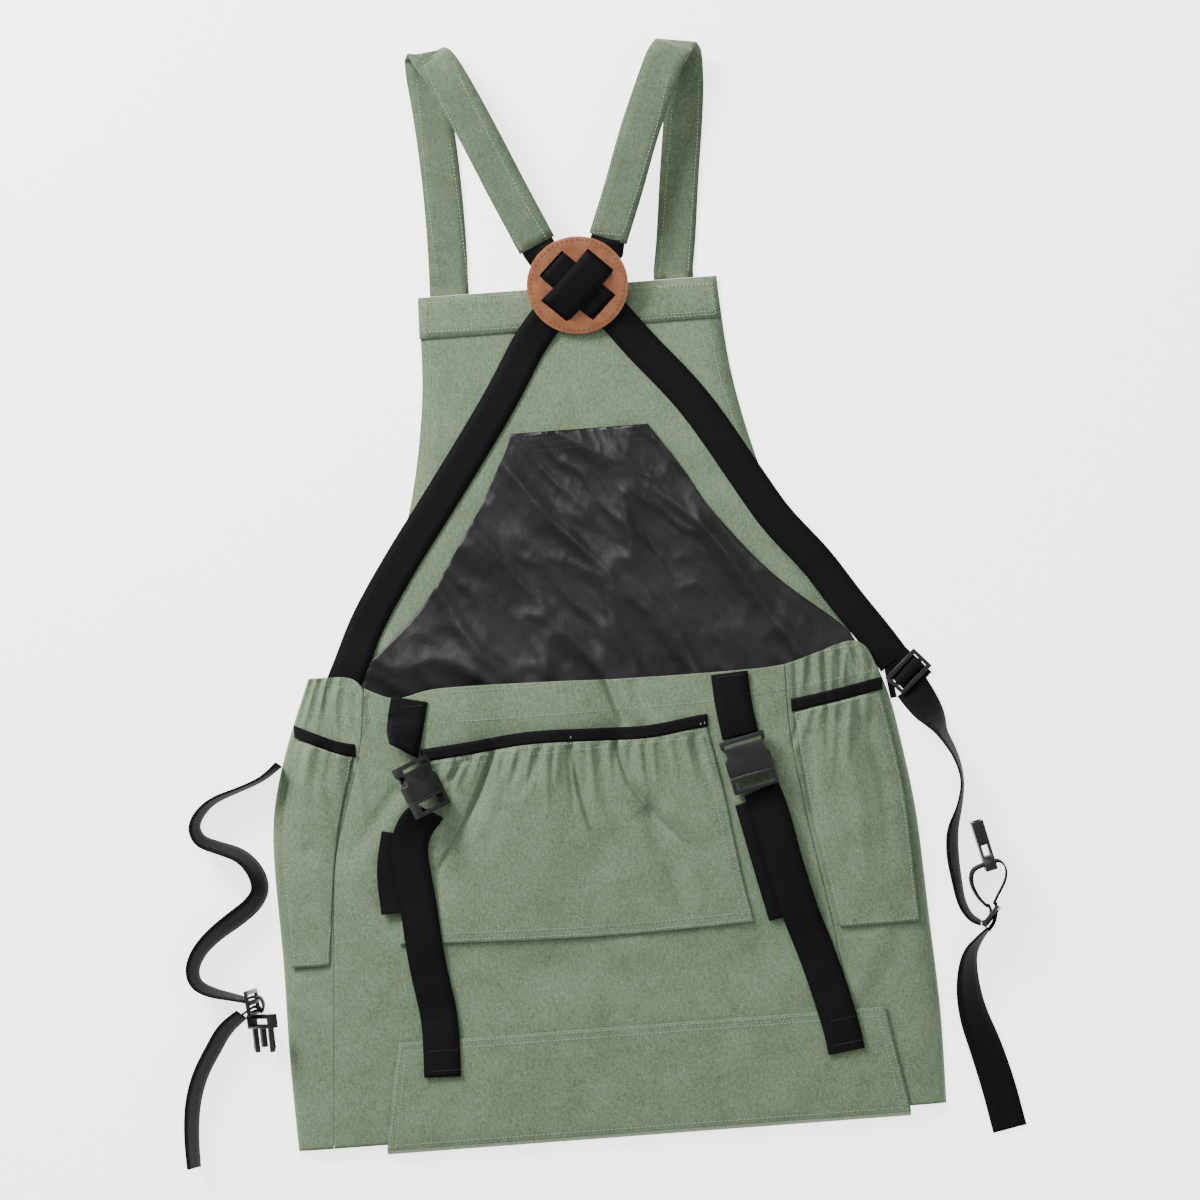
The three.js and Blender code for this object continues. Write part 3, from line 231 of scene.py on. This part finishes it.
# Folds of the pouch's front: a line and its half width in the photo's pixels, and its height in mm
folds = [
    {"line": [(606, 680), (617, 706), (626, 726)], "width": 4.5, "height": -7.5},
    {"line": [(618, 680), (630, 706), (642, 724)], "width": 7, "height": 4},
    {"line": [(632, 684), (644, 704), (656, 720)], "width": 5, "height": -2.4},
    {"line": [(616, 744), (630, 783), (655, 815), (692, 850)], "width": 3.2, "height": -5.5},
    {"line": [(628, 744), (644, 780), (670, 812), (704, 842)], "width": 9, "height": 3.4},
    {"line": [(650, 815), (674, 873), (688, 925)], "width": 10, "height": -4},
    {"line": [(672, 815), (694, 873), (706, 922)], "width": 11, "height": 2.6},
    {"line": [(494, 753), (479, 794), (465, 826), (433, 880)], "width": 3.2, "height": -5.5},
    {"line": [(506, 755), (494, 796), (480, 830), (450, 880)], "width": 8, "height": 3},
    {"line": [(466, 759), (452, 776), (440, 790)], "width": 3.4, "height": -3.8},
    {"line": [(571, 746), (581, 794), (592, 829), (612, 852)], "width": 3, "height": -4.4},
    {"line": [(584, 746), (594, 792), (606, 826), (622, 846)], "width": 8, "height": 2.6},
    {"line": [(504, 812), (518, 837), (538, 885)], "width": 9, "height": -2.2},
    {"line": [(540, 750), (530, 776), (516, 800)], "width": 5, "height": -2.8},
    {"line": [(694, 738), (704, 770), (716, 800)], "width": 6, "height": -2.6},
    {"line": [(397, 792), (372, 826), (348, 862)], "width": 8, "height": -3},
    {"line": [(404, 806), (384, 838), (360, 874)], "width": 8, "height": 2},
    {"line": [(310, 850), (322, 862), (338, 878)], "width": 7, "height": -2.4},
    {"line": [(322, 750), (330, 790), (334, 830)], "width": 6, "height": -2.8},
    {"line": [(810, 736), (812, 800), (806, 870)], "width": 8, "height": -3},
    {"line": [(842, 730), (858, 800), (866, 880)], "width": 8, "height": 2.4},
    {"line": [(866, 722), (882, 780), (890, 860)], "width": 7, "height": -2.6},
    {"line": [(480, 948), (560, 975), (660, 968)], "width": 16, "height": -2},
    {"line": [(884, 930), (864, 980), (836, 1012)], "width": 12, "height": 2},
    {"line": [(318, 960), (345, 1030), (352, 1090)], "width": 12, "height": 2},
    {"line": [(760, 950), (790, 1000), (840, 1030)], "width": 14, "height": -1.8},
]
# Gathers: many small folds between two points, each falling from there
gathers = [
    {"from": (312, 684), "to": (372, 700), "fall": 46, "spread": 0.1, "count": 9,
     "width": 3, "height": 2.1},
    {"from": (790, 660), "to": (880, 650), "fall": 50, "spread": 0.1, "count": 12,
     "width": 3, "height": 2.2},
    {"from": (440, 758), "to": (704, 738), "fall": 44, "spread": 0.6, "count": 34,
     "width": 3, "height": 1.7},
    {"from": (300, 746), "to": (358, 758), "fall": 44, "spread": 0.5, "count": 8,
     "width": 3.2, "height": 1.8},
    {"from": (796, 718), "to": (888, 690), "fall": 50, "spread": 0.5, "count": 13,
     "width": 3.2, "height": 1.8},
    {"from": (440, 690), "to": (700, 674), "fall": 28, "spread": 0.2, "count": 12,
     "width": 6, "height": 0.5},
]
foldSeed = 7


def gatheredFolds():
    draw = random.Random(foldSeed)
    made = []
    for row in gathers:
        for number in range(row["count"]):
            share = (number + 0.5 + draw.uniform(-0.3, 0.3)) / row["count"]
            px = row["from"][0] + share * (row["to"][0] - row["from"][0])
            py = row["from"][1] + share * (row["to"][1] - row["from"][1])
            fall = row["fall"] * draw.uniform(0.5, 1.5)
            lean = (share - 0.5) * row["spread"] + draw.uniform(-0.12, 0.12)
            height = row["height"] * draw.uniform(0.5, 1.3) * (1 if number % 2 else -1)
            made.append({"line": [(px, py), (px + lean * fall * 0.5, py + fall * 0.5),
                                  (px + lean * fall, py + fall)],
                         "width": row["width"] * draw.uniform(0.8, 1.3), "height": height})
    return made


allFolds = [{"line": [spot(*p) for p in row["line"]], "width": row["width"] * pixelSize,
             "height": row["height"] * mm} for row in folds + gatheredFolds()]


def foldHeights(places):
    total = np.zeros(len(places))
    flat = places[:, :2]
    for row in allFolds:
        points = np.array(row["line"])
        nearest = np.full(len(flat), 1e9)
        along = np.zeros(len(flat))
        for number in range(len(points) - 1):
            start, step = points[number], points[number + 1] - points[number]
            share = np.clip(((flat - start) @ step) / (step @ step), 0, 1)
            away = np.linalg.norm(flat - start - share[:, None] * step, axis=1)
            closer = away < nearest
            nearest = np.where(closer, away, nearest)
            along = np.where(closer, (number + share) / (len(points) - 1), along)
        fade = np.clip(np.cos(along * math.pi / 2), 0, 1) ** 0.6
        total += row["height"] * fade * np.exp(-(nearest / row["width"]) ** 2)
    return total


# Fades the folds out where the cloth lies near the floor
lowLine, highLine = 5 * mm, 14 * mm
ripple = [{"size": 46 * mm, "height": 0.9 * mm}, {"size": 19 * mm, "height": 0.45 * mm},
          {"size": 8 * mm, "height": 0.16 * mm}]


def frontMove(places):
    lift = foldHeights(places)
    for number, (x, y, _) in enumerate(places):
        for row in ripple:
            lift[number] += row["height"] * noise.noise((x / row["size"], y / row["size"], 3.7))
    return lift * np.clip((places[:, 2] - lowLine) / (highLine - lowLine), 0, 1)


# The lining's crinkles rise only where nothing lies close above it
linings = [{"size": 60 * mm, "height": 4.5 * mm}, {"size": 26 * mm, "height": 1.8 * mm},
           {"size": 10 * mm, "height": 0.6 * mm}]
clearance, farthest = 0.4 * mm, 30 * mm


def treeOf(objects):
    made = bmesh.new()
    for obj in objects:
        made.from_mesh(obj.data)
    tree = BVHTree.FromBMesh(made)
    made.free()
    return tree


underLining = ("lining_panel", "back_panel", "bib_top_band")
overLining = treeOf([nodes[name] for name in nodes if name not in underLining])


def liningMove(places):
    lift = np.zeros(len(places))
    for number, (x, y, z) in enumerate(places):
        rise = 0
        for row in linings:
            value = noise.noise((x / row["size"] + 0.5 * y / row["size"], 0.6 * y / row["size"], 1.3))
            rise += row["height"] * max(0, 1 - abs(2.6 * value)) ** 1.6
        place, _, _, gap = overLining.ray_cast(Vector((x, y, z)), Vector((0, 0, 1)), farthest)
        room = farthest if place is None else gap
        lift[number] = max(0, min(rise, 0.5 * (room - clearance)))
    return lift


# Refined copies of the frame's soft nodes
def bake(obj):
    graph = bpy.context.evaluated_depsgraph_get()
    mesh = bpy.data.meshes.new_from_object(obj.evaluated_get(graph))
    obj.modifiers.clear()
    obj.data = mesh


def dress(obj, source, material, sharp):
    obj.data.materials.clear()
    obj.data.materials.append(material)
    obj.data.shade_smooth()
    obj.data.set_sharp_from_angle(angle=math.radians(sharp))
    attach(obj, "root")
    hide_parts(source)


def refined(name, source, material, levels=2, crease=50, move=None, merge=0.02 * mm, join=40):
    obj = bpy.data.objects.new(name, nodes[source].data.copy())
    bpy.context.scene.collection.objects.link(obj)
    made = bmesh.new()
    made.from_mesh(obj.data)
    bmesh.ops.remove_doubles(made, verts=made.verts, dist=merge)
    bmesh.ops.join_triangles(made, faces=made.faces, angle_face_threshold=math.radians(join),
                             angle_shape_threshold=math.radians(75))
    layer = made.edges.layers.float.get("crease_edge") or made.edges.layers.float.new("crease_edge")
    for edge in made.edges:
        if edge.is_manifold and edge.calc_face_angle() > math.radians(crease):
            edge[layer] = 1
    made.to_mesh(obj.data)
    made.free()
    smooth = obj.modifiers.new("smooth", "SUBSURF")
    smooth.levels = smooth.render_levels = levels
    bake(obj)
    if move:
        places = np.zeros(len(obj.data.vertices) * 3)
        obj.data.vertices.foreach_get("co", places)
        places = places.reshape(-1, 3)
        places[:, 2] += move(places)
        obj.data.vertices.foreach_set("co", places.ravel())
    dress(obj, source, material, crease)
    return obj


# The shoulder straps' sewn ends: level along the bib's top, and over the webbing at the disc
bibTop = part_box("back_panel")[1][1]
sewnDepth, seamPlay, webbingGap, webbingReach = 7 * mm, 0.3 * mm, 5 * mm, 3.6 * mm
discTop = 60 * mm  # over the bib's top


def strapEnds(obj, webbingNode, turn):
    tree = treeOf([nodes[webbingNode]])
    way = Vector((math.sin(math.radians(turn)), -math.cos(math.radians(turn)), 0))
    for vertex in obj.data.vertices:
        if vertex.co.z < sewnDepth and vertex.co.y < bibTop + sewnDepth:
            vertex.co.y = min(vertex.co.y, bibTop + seamPlay)
        elif vertex.co.y < bibTop + discTop and tree.find_nearest(vertex.co)[3] < webbingGap:
            vertex.co += way * webbingReach


soft = {}
# Flat width and length in metres, and the cut cloth's area, with 12% more than its outline if gathered
cloths = [
    {"name": "backPanel", "node": "back_panel", "levels": 2, "flat": (0.56, 0.732), "area": 0.322,
     "held": "laid"},
    {"name": "bibBand", "node": "bib_top_band", "levels": 2, "flat": (0.263, 0.036), "area": 0.0094,
     "held": "laid", "rests": ["backPanel"]},
    {"name": "lining", "node": "lining_panel", "levels": 3, "flat": (0.54, 0.608), "area": 0.2614,
     "held": "laid", "rests": ["backPanel"], "move": liningMove, "material": nylon, "slot": "nylon"},
    {"name": "centrePanel", "node": "centre_panel", "levels": 3, "flat": (0.47, 0.4), "area": 0.1836,
     "held": "gathered", "rests": ["lining"], "move": frontMove},
    {"name": "leftSidePanel", "node": "left_side_panel", "levels": 3, "flat": (0.09, 0.41),
     "area": 0.0225, "held": "gathered", "rests": ["lining"], "move": frontMove},
    {"name": "rightSidePanel", "node": "right_side_panel", "levels": 3, "flat": (0.115, 0.41),
     "area": 0.0383, "held": "gathered", "rests": ["lining"], "move": frontMove},
    {"name": "centrePocket", "node": "centre_pocket", "levels": 4, "flat": (0.31, 0.176),
     "area": 0.0518, "held": "gathered", "rests": ["centrePanel"], "move": frontMove},
    {"name": "leftSidePocket", "node": "left_side_pocket", "levels": 3, "flat": (0.07, 0.2),
     "area": 0.0094, "held": "gathered", "rests": ["leftSidePanel"], "move": frontMove},
    {"name": "rightSidePocket", "node": "right_side_pocket", "levels": 3, "flat": (0.1, 0.204),
     "area": 0.0173, "held": "gathered", "rests": ["rightSidePanel"], "move": frontMove},
    {"name": "bottomFlap", "node": "bottom_flap", "levels": 3, "flat": (0.456, 0.105), "area": 0.0445,
     "held": "folded", "rests": ["centrePanel"], "move": frontMove},
]
for row in cloths:
    soft[row["name"]] = refined(row["name"], row["node"], row.get("material", canvas),
                                row["levels"], move=row.get("move"))
    print("cloth", row["name"], len(soft[row["name"]].data.polygons))

straps = [
    {"name": "leftShoulderStrap", "node": "shoulder_strap_left", "material": strapCanvas, "slot": "canvas"},
    {"name": "rightShoulderStrap", "node": "shoulder_strap_right", "material": strapCanvas, "slot": "canvas"},
    {"name": "crossFromLeft", "node": "cross_webbing_from_left"},
    {"name": "crossFromRight", "node": "cross_webbing_from_right"},
    {"name": "leftPouchStrapTop", "node": "pouch_strap_left_upper", "move": frontMove},
    {"name": "leftPouchStrap", "node": "pouch_strap_left_lower", "move": frontMove},
    {"name": "leftPouchStrapEnd", "node": "pouch_strap_left_spare", "move": frontMove},
    {"name": "rightPouchStrapTop", "node": "pouch_strap_right_upper", "move": frontMove},
    {"name": "rightPouchStrap", "node": "pouch_strap_right_lower", "move": frontMove},
    {"name": "rightPouchStrapEnd", "node": "pouch_strap_right_spare", "move": frontMove},
    {"name": "centreBinding", "node": "centre_pocket_binding", "move": frontMove},
    {"name": "leftBinding", "node": "left_side_pocket_binding", "move": frontMove},
    {"name": "rightBinding", "node": "right_side_pocket_binding", "move": frontMove},
    {"name": "sliderAnchor", "node": "slider_anchor"},
    {"name": "rightTie", "node": "waist_strap_right"},
    {"name": "rightTieEnd", "node": "waist_tail_right"},
    {"name": "rightBuckleLoop", "node": "right_buckle_loop"},
    {"name": "leftTie", "node": "waist_strap_left"},
    {"name": "leftTieEnd", "node": "waist_tail_left"},
]
for row in straps:
    soft[row["name"]] = refined(row["name"], row["node"], row.get("material", webbing),
                                2, move=row.get("move"))
strapEnds(soft["leftShoulderStrap"], "cross_webbing_from_left", 25)
strapEnds(soft["rightShoulderStrap"], "cross_webbing_from_right", -19)
print("straps made")


# Webbing that runs through the sliders and joins the ties' pieces
def curved(points, count):
    points = [Vector(p) for p in points]
    ends = [2 * points[0] - points[1], *points, 2 * points[-1] - points[-2]]
    made = []
    for number in range(count):
        along = number / (count - 1) * (len(points) - 1)
        index = min(int(along), len(points) - 2)
        t = along - index
        a, b, c, d = ends[index:index + 4]
        made.append(0.5 * (2 * b + (c - a) * t + (2 * a - 5 * b + 4 * c - d) * t * t
                           + (3 * b - a - 3 * c + d) * t ** 3))
    return made


def placeMesh(made, name, material, sharp=None):
    mesh = bpy.data.meshes.new(name)
    made.to_mesh(mesh)
    made.free()
    obj = bpy.data.objects.new(name, mesh)
    bpy.context.scene.collection.objects.link(obj)
    mesh.materials.append(material)
    mesh.shade_smooth()
    if sharp:
        mesh.set_sharp_from_angle(angle=math.radians(sharp))
    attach(obj, "root")
    return obj


def ribbon(name, points, side, width, thickness=1.5 * mm, count=40):
    line = curved(points, count)
    made = bmesh.new()
    rings = []
    for number, point in enumerate(line):
        way = (line[min(number + 1, count - 1)] - line[max(number - 1, 0)]).normalized()
        normal = way.cross(side).normalized()
        rings.append([made.verts.new(point + side * across * width / 2 + normal * out * thickness / 2)
                      for across, out in ((-1, -1), (1, -1), (1, 1), (-1, 1))])
    for first, second in zip(rings, rings[1:]):
        for n in range(4):
            made.faces.new((first[n], first[(n + 1) % 4], second[(n + 1) % 4], second[n]))
    made.faces.new(rings[0][::-1])
    made.faces.new(rings[-1])
    bmesh.ops.recalc_face_normals(made, faces=made.faces)
    return placeMesh(made, name, webbing, 40)


def middleOf(node):
    low, high = (Vector(corner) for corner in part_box(node))
    return (low + high) / 2


# Over the waist slider's middle bar: run is across the bars and high is above the floor, in mm
waistRun = [(-16, 1.2), (-8, 1.1), (-5.4, 2), (-4.2, 5.4), (-2.4, 8), (0, 8.6), (2.4, 8), (4.2, 5.4),
            (5.4, 2), (8, 1.1), (15, 1.2)]
sliderTurn = math.radians(42)
sliderTilt = math.radians(4)
acrossBars = Vector((math.sin(sliderTurn), -math.cos(sliderTurn), 0))
alongBars = Vector((math.cos(sliderTurn), math.sin(sliderTurn), math.sin(sliderTilt))).normalized()
waistMiddle = middleOf("waist_slider")
waistMiddle.z = 0
ribbon("waistWebbing", [waistMiddle + acrossBars * run * mm + Vector((0, 0, high * mm))
                        for run, high in waistRun], alongBars, 28 * mm)

# On edge through the lower sliders: the right ones in the photo's pixels, the left one in mm
edgeMiddle, edgeWidth = 15 * mm, 27 * mm
edgeRuns = [
    {"name": "rightLoopWebbing", "line": [(987.5, 903.5), (990, 911), (987.5, 918.7), (981, 921.5)]},
    {"name": "rightTailWebbing", "line": [(994.7, 901.5), (995.1, 911.5), (993, 921), (987.5, 929.5)]},
]
for row in edgeRuns:
    ribbon(row["name"], [Vector((*spot(*p), edgeMiddle)) for p in row["line"]], Vector((0, 0, 1)), edgeWidth)
leftMiddle = middleOf("left_slider")
leftRun = [(-8, 2), (0, 4.5), (6.5, 3.5), (9.4, -2), (8, -9), (5, -5), (0, -4.5), (-10, -10.5)]
ribbon("leftLoopWebbing", [Vector((leftMiddle.x + x * mm, leftMiddle.y + y * mm, edgeMiddle))
                           for x, y in leftRun], Vector((0, 0, 1)), edgeWidth)


# Plastic and leather pieces with softened edges
discTilt = math.radians(20)
slotMiddle, slotTrim, slotSideTrim = 28.5 * mm, 1.4 * mm, 0.95 * mm
innerPart = 40 * mm  # the disc's rim stays as it is


def closeSlots(made):
    middle = middleOf("leather_disc")
    turnBack = Matrix.Rotation(-discTilt, 3, "X")
    for vertex in made.verts:
        flat = turnBack @ (vertex.co - middle)
        if math.hypot(flat.x, flat.y) > innerPart:
            continue
        turns = round((math.atan2(flat.y, flat.x) - math.pi / 4) / (math.pi / 2))
        quarter = math.pi / 2 * turns + math.pi / 4
        out = Vector((math.cos(quarter), math.sin(quarter), 0))
        side = Vector((-out.y, out.x, 0))
        outward, sideward = flat.dot(out) - slotMiddle, flat.dot(side)
        flat -= out * math.copysign(slotTrim, outward) + side * math.copysign(slotSideTrim, sideward)
        vertex.co = middle + turnBack.inverted() @ flat


def rounded(name, source, material, radius, sides=2, reshape=None):
    obj = bpy.data.objects.new(name, nodes[source].data.copy())
    bpy.context.scene.collection.objects.link(obj)
    made = bmesh.new()
    made.from_mesh(obj.data)
    bmesh.ops.remove_doubles(made, verts=made.verts, dist=0.01 * mm)
    bmesh.ops.dissolve_limit(made, angle_limit=math.radians(1), verts=made.verts, edges=made.edges)
    if reshape:
        reshape(made)
    made.to_mesh(obj.data)
    made.free()
    edge = obj.modifiers.new("edge", "BEVEL")
    edge.width = radius
    edge.segments = sides
    edge.limit_method = "ANGLE"
    edge.angle_limit = math.radians(35)
    bake(obj)
    dress(obj, source, material, 38)
    return obj


for source in ("pouch_buckle_left_prongs", "pouch_buckle_left_socket", "pouch_buckle_right_prongs",
               "pouch_buckle_right_socket", "waist_buckle_prongs", "waist_buckle_socket",
               "waist_slider", "right_slider", "left_slider"):
    words = source.split("_")
    name = words[0] + "".join(word.capitalize() for word in words[1:])
    rounded(name, source, plastic, 0.5 * mm)
disc = rounded("leatherDisc", "leather_disc", leather, 0.7 * mm, 3, closeSlots)
print("hard pieces made")


# Stitches: short threads laid along lines of the photo's pixels, on the piece under each line
def threadMesh(name, stitches, radius, material, sides=5):
    made = bmesh.new()
    for start, end, up in stitches:
        way = (end - start).normalized()
        side = way.cross(up).normalized()
        rings = []
        for share, size in ((0.12, 0.8), (0.5, 1), (0.88, 0.8)):
            centre = start.lerp(end, share) + up * radius * (0.5 if share == 0.5 else 0.1)
            rings.append([made.verts.new(centre + radius * size * (
                side * math.cos(2 * math.pi * n / sides) + up * math.sin(2 * math.pi * n / sides)))
                for n in range(sides)])
        tips = [made.verts.new(start - up * radius * 0.7), made.verts.new(end - up * radius * 0.7)]
        for first, second in zip(rings, rings[1:]):
            for n in range(sides):
                made.faces.new((first[n], first[(n + 1) % sides], second[(n + 1) % sides], second[n]))
        for n in range(sides):
            made.faces.new((tips[0], rings[0][(n + 1) % sides], rings[0][n]))
            made.faces.new((tips[1], rings[-1][n], rings[-1][(n + 1) % sides]))
    bmesh.ops.recalc_face_normals(made, faces=made.faces)
    return placeMesh(made, name, material)


def resampled(points, pitch):
    points = [Vector(p) for p in points]
    lengths = [0]
    for first, second in zip(points, points[1:]):
        lengths.append(lengths[-1] + (second - first).length)
    count = max(1, round(lengths[-1] / pitch))
    made = []
    for number in range(count + 1):
        want = lengths[-1] * number / count
        index = max(i for i in range(len(points) - 1) if lengths[i] <= want + 1e-9)
        step = lengths[index + 1] - lengths[index]
        made.append(points[index].lerp(points[index + 1], (want - lengths[index]) / step if step else 0))
    return made


steepest = 0.35  # no stitch where the cloth's normal leans over further than this


def layLine(points, tree, pitch, share):
    made = []
    line = resampled(points, pitch)
    for first, second in zip(line, line[1:]):
        ends = []
        for point in (first, first.lerp(second, share)):
            place, normal, _, _ = tree.ray_cast(Vector((point.x, point.y, above)), Vector((0, 0, -1)))
            if place is None or abs(normal.z) < steepest:
                break
            ends.append((place, normal if normal.z > 0 else -normal))
        if len(ends) == 2 and abs(ends[0][0].z - ends[1][0].z) < 0.7 * (ends[0][0] - ends[1][0]).length:
            made.append((ends[0][0], ends[1][0], ends[0][1]))
    return made


def stitched(name, lines, carriers, material, radius=0.42 * mm, pitch=3.3 * mm, share=0.72,
             pixels=True):
    tree = treeOf(carriers)
    stitches = []
    for line in lines:
        points = [spot(*p) for p in line] if pixels else line
        stitches += layLine([(x, y) for x, y in points], tree, pitch, share)
    print("stitches", name, len(stitches))
    return threadMesh(name, stitches, radius, material)


def hullOf(obj):
    points = sorted({(round(v.co.x, 5), round(v.co.y, 5)) for v in obj.data.vertices})

    def half(row):
        made = []
        for p in row:
            while len(made) > 1 and ((made[-1][0] - made[-2][0]) * (p[1] - made[-2][1])
                                     - (made[-1][1] - made[-2][1]) * (p[0] - made[-2][0])) <= 0:
                made.pop()
            made.append(p)
        return made[:-1]
    return [Vector(p) for p in half(points) + half(points[::-1])]


def insetLoop(obj, inset):
    loop = hullOf(obj)
    middle = sum(loop, Vector((0, 0))) / len(loop)
    line = resampled([*loop, loop[0]], 6 * mm)[:-1]
    made = []
    for number, point in enumerate(line):
        way = line[(number + 1) % len(line)] - line[number - 1]
        inward = Vector((-way.y, way.x)).normalized()
        if inward.dot(middle - point) < 0:
            inward = -inward
        made.append(tuple(point + inward * inset))
    return [*made, made[0]]


bibLines = [
    [(431, 344), (430, 400), (427, 470), (418, 530), (398, 600), (372, 662)],
    [(708, 322), (722, 385), (744, 450), (775, 520), (814, 590), (846, 632)],
]
stitched("bibStitches", bibLines, [soft["backPanel"]], greenThread)
bandLines = [
    [(428, 300), (548, 293), (620, 289), (710, 284)], [(425, 333), (560, 325), (716, 314)],
    [(429, 303), (471, 300), (472, 329), (428, 332)], [(660, 288), (711, 285), (714, 311), (661, 315)],
    [(427, 300), (425, 334)], [(712, 283), (716, 315)],
]
stitched("bandStitches", bandLines, [soft["bibBand"]], greenThread)
strapLines = [
    [(417, 80), (428, 200), (439, 286)], [(450, 140), (461, 220), (468, 284)],
    [(421, 56), (430, 80), (470, 160), (500, 220), (525, 256)],
    [(455, 66), (468, 96), (500, 158), (528, 210), (547, 240)],
    [(640, 70), (625, 120), (608, 180), (593, 232)], [(668, 80), (656, 130), (638, 190), (623, 235)],
    [(672, 110), (665, 200), (660, 278)], [(699, 80), (697, 140), (692, 210), (688, 272)],
    [(524, 259), (550, 244)], [(593, 234), (622, 237)],
]
stitched("strapStitches", strapLines, [soft["leftShoulderStrap"], soft["rightShoulderStrap"]], greenThread)
pocketLoops = [insetLoop(soft["centrePocket"], 2.6 * mm), insetLoop(soft["centrePocket"], 8.5 * mm)]
stitched("pocketStitches", pocketLoops, [soft["centrePocket"]], greenThread, pixels=False)
stitched("pocketDivider", [[(583, 876), (583, 936)]], [soft["centrePocket"]], greenThread)
flapLoops = [insetLoop(soft["bottomFlap"], 2.6 * mm), insetLoop(soft["bottomFlap"], 8 * mm)]
stitched("flapStitches", flapLoops, [soft["bottomFlap"]], greenThread, pixels=False)
for side in ("left", "right"):
    pocket = soft[side + "SidePocket"]
    stitched(side + "PocketStitches", [insetLoop(pocket, 2.4 * mm)], [pocket], greenThread,
             pixels=False)
fronts = [soft["centrePanel"], soft["leftSidePanel"], soft["rightSidePanel"]]
casingLines = [
    [(312, 712), (420, 724), (560, 714), (700, 702), (800, 686), (886, 668)],
    [(316, 684), (420, 694), (560, 685), (700, 672), (800, 655), (880, 640)],
]
stitched("casingStitches", casingLines, fronts, greenThread)
strapTacks = [[(430, 1050), (459, 1048)], [(433, 1070), (462, 1068)], [(830, 1020), (858, 1014)],
              [(834, 1044), (863, 1038)]]
stitched("strapTacks", strapTacks, [soft["leftPouchStrap"], soft["rightPouchStrap"]], blackThread,
         radius=0.3 * mm, pitch=2.6 * mm)
topTacks = [[(403, 707), (424, 705)], [(717, 677), (744, 674)]]
stitched("topTacks", topTacks, [soft["leftPouchStrapTop"], soft["rightPouchStrapTop"]], blackThread,
         radius=0.3 * mm, pitch=2.6 * mm)
bindingTacks = [[(571, 735), (571, 745)], [(700, 722), (703, 734)], [(704, 721), (706, 733)]]
stitched("bindingTacks", bindingTacks, [soft["centreBinding"]], greenThread, radius=0.4 * mm,
         pitch=3 * mm, share=0.9)
liningLines = [[(515, 441), (650, 425)], [(513, 447), (652, 431)], [(511, 454), (655, 438)]]
stitched("liningStitches", liningLines, [soft["lining"]], blackThread, radius=0.25 * mm)


# A ring near the disc's edge, squeezed in y as the disc lies tilted
reach, count, squeeze = 41.2 * mm, 58, 0.955


def discStitches():
    tree = treeOf([disc])
    middle = middleOf("leather_disc")
    stitches = []
    for number in range(count):
        turn = 2 * math.pi * number / count
        ends = []
        for shift, inset in ((-0.017, 0), (0.03, 1.5 * mm)):
            size = reach - inset
            x = middle.x + size * math.cos(turn + shift)
            y = middle.y + squeeze * size * math.sin(turn + shift)
            place, normal, _, _ = tree.ray_cast(Vector((x, y, above)), Vector((0, 0, -1)))
            if place is not None:
                ends.append((place, normal))
        if len(ends) == 2:
            stitches.append((ends[0][0], ends[1][0], ends[0][1]))
    return threadMesh("discStitches", stitches, 0.42 * mm, tanThread)


discStitches()
print("stitches made")

# Floor, lights and camera
floorMesh = bpy.data.meshes.new("floor")
floorSize = 6
floorMesh.from_pydata([(-floorSize, -floorSize, 0), (floorSize, -floorSize, 0), (floorSize, floorSize, 0),
                       (-floorSize, floorSize, 0)], [], [(0, 1, 2, 3)])
floor = bpy.data.objects.new("floor", floorMesh)
bpy.context.scene.collection.objects.link(floor)
paper, _, paperShader = startMaterial("paperFloor", 0.9)
paperShader.inputs["Base Color"].default_value = (0.95, 0.95, 0.95, 1)
paperShader.inputs["Emission Color"].default_value = (1, 1, 1, 1)
paperShader.inputs["Emission Strength"].default_value = 2.4
floorMesh.materials.append(paper)

world = bpy.data.worlds.new("studio")
bpy.context.scene.world = world
world.use_nodes = True
world.node_tree.nodes["Background"].inputs["Color"].default_value = (1, 1, 1, 1)
world.node_tree.nodes["Background"].inputs["Strength"].default_value = 0.55

lamps = [
    {"name": "keyLight", "place": (-1.25, 1.6, 1.25), "power": 98, "size": 0.8},
    {"name": "topLight", "place": (-0.5, 0.95, 2.3), "power": 16, "size": 0.7},
    {"name": "fillLight", "place": (1.6, -0.6, 1.9), "power": 8, "size": 1.6},
]
for row in lamps:
    light = bpy.data.lights.new(row["name"], "AREA")
    light.energy = row["power"]
    light.size = row["size"]
    lamp = bpy.data.objects.new(row["name"], light)
    lamp.location = row["place"]
    lamp.rotation_euler = (Vector((0, 0.05, 0)) - lamp.location).to_track_quat("-Z", "Y").to_euler()
    bpy.context.scene.collection.objects.link(lamp)

lens = bpy.data.cameras.new("camera")
camera = bpy.data.objects.new("camera", lens)
cameraHeight = 6
lens.sensor_width = 36
lens.lens = lens.sensor_width * cameraHeight / (photoWidth * pixelSize)
camera.location = (*viewCentre, cameraHeight)
camera.rotation_euler = (0, 0, -photoTilt)
bpy.context.scene.collection.objects.link(camera)
bpy.context.scene.camera = camera

bpy.context.view_layer.update()
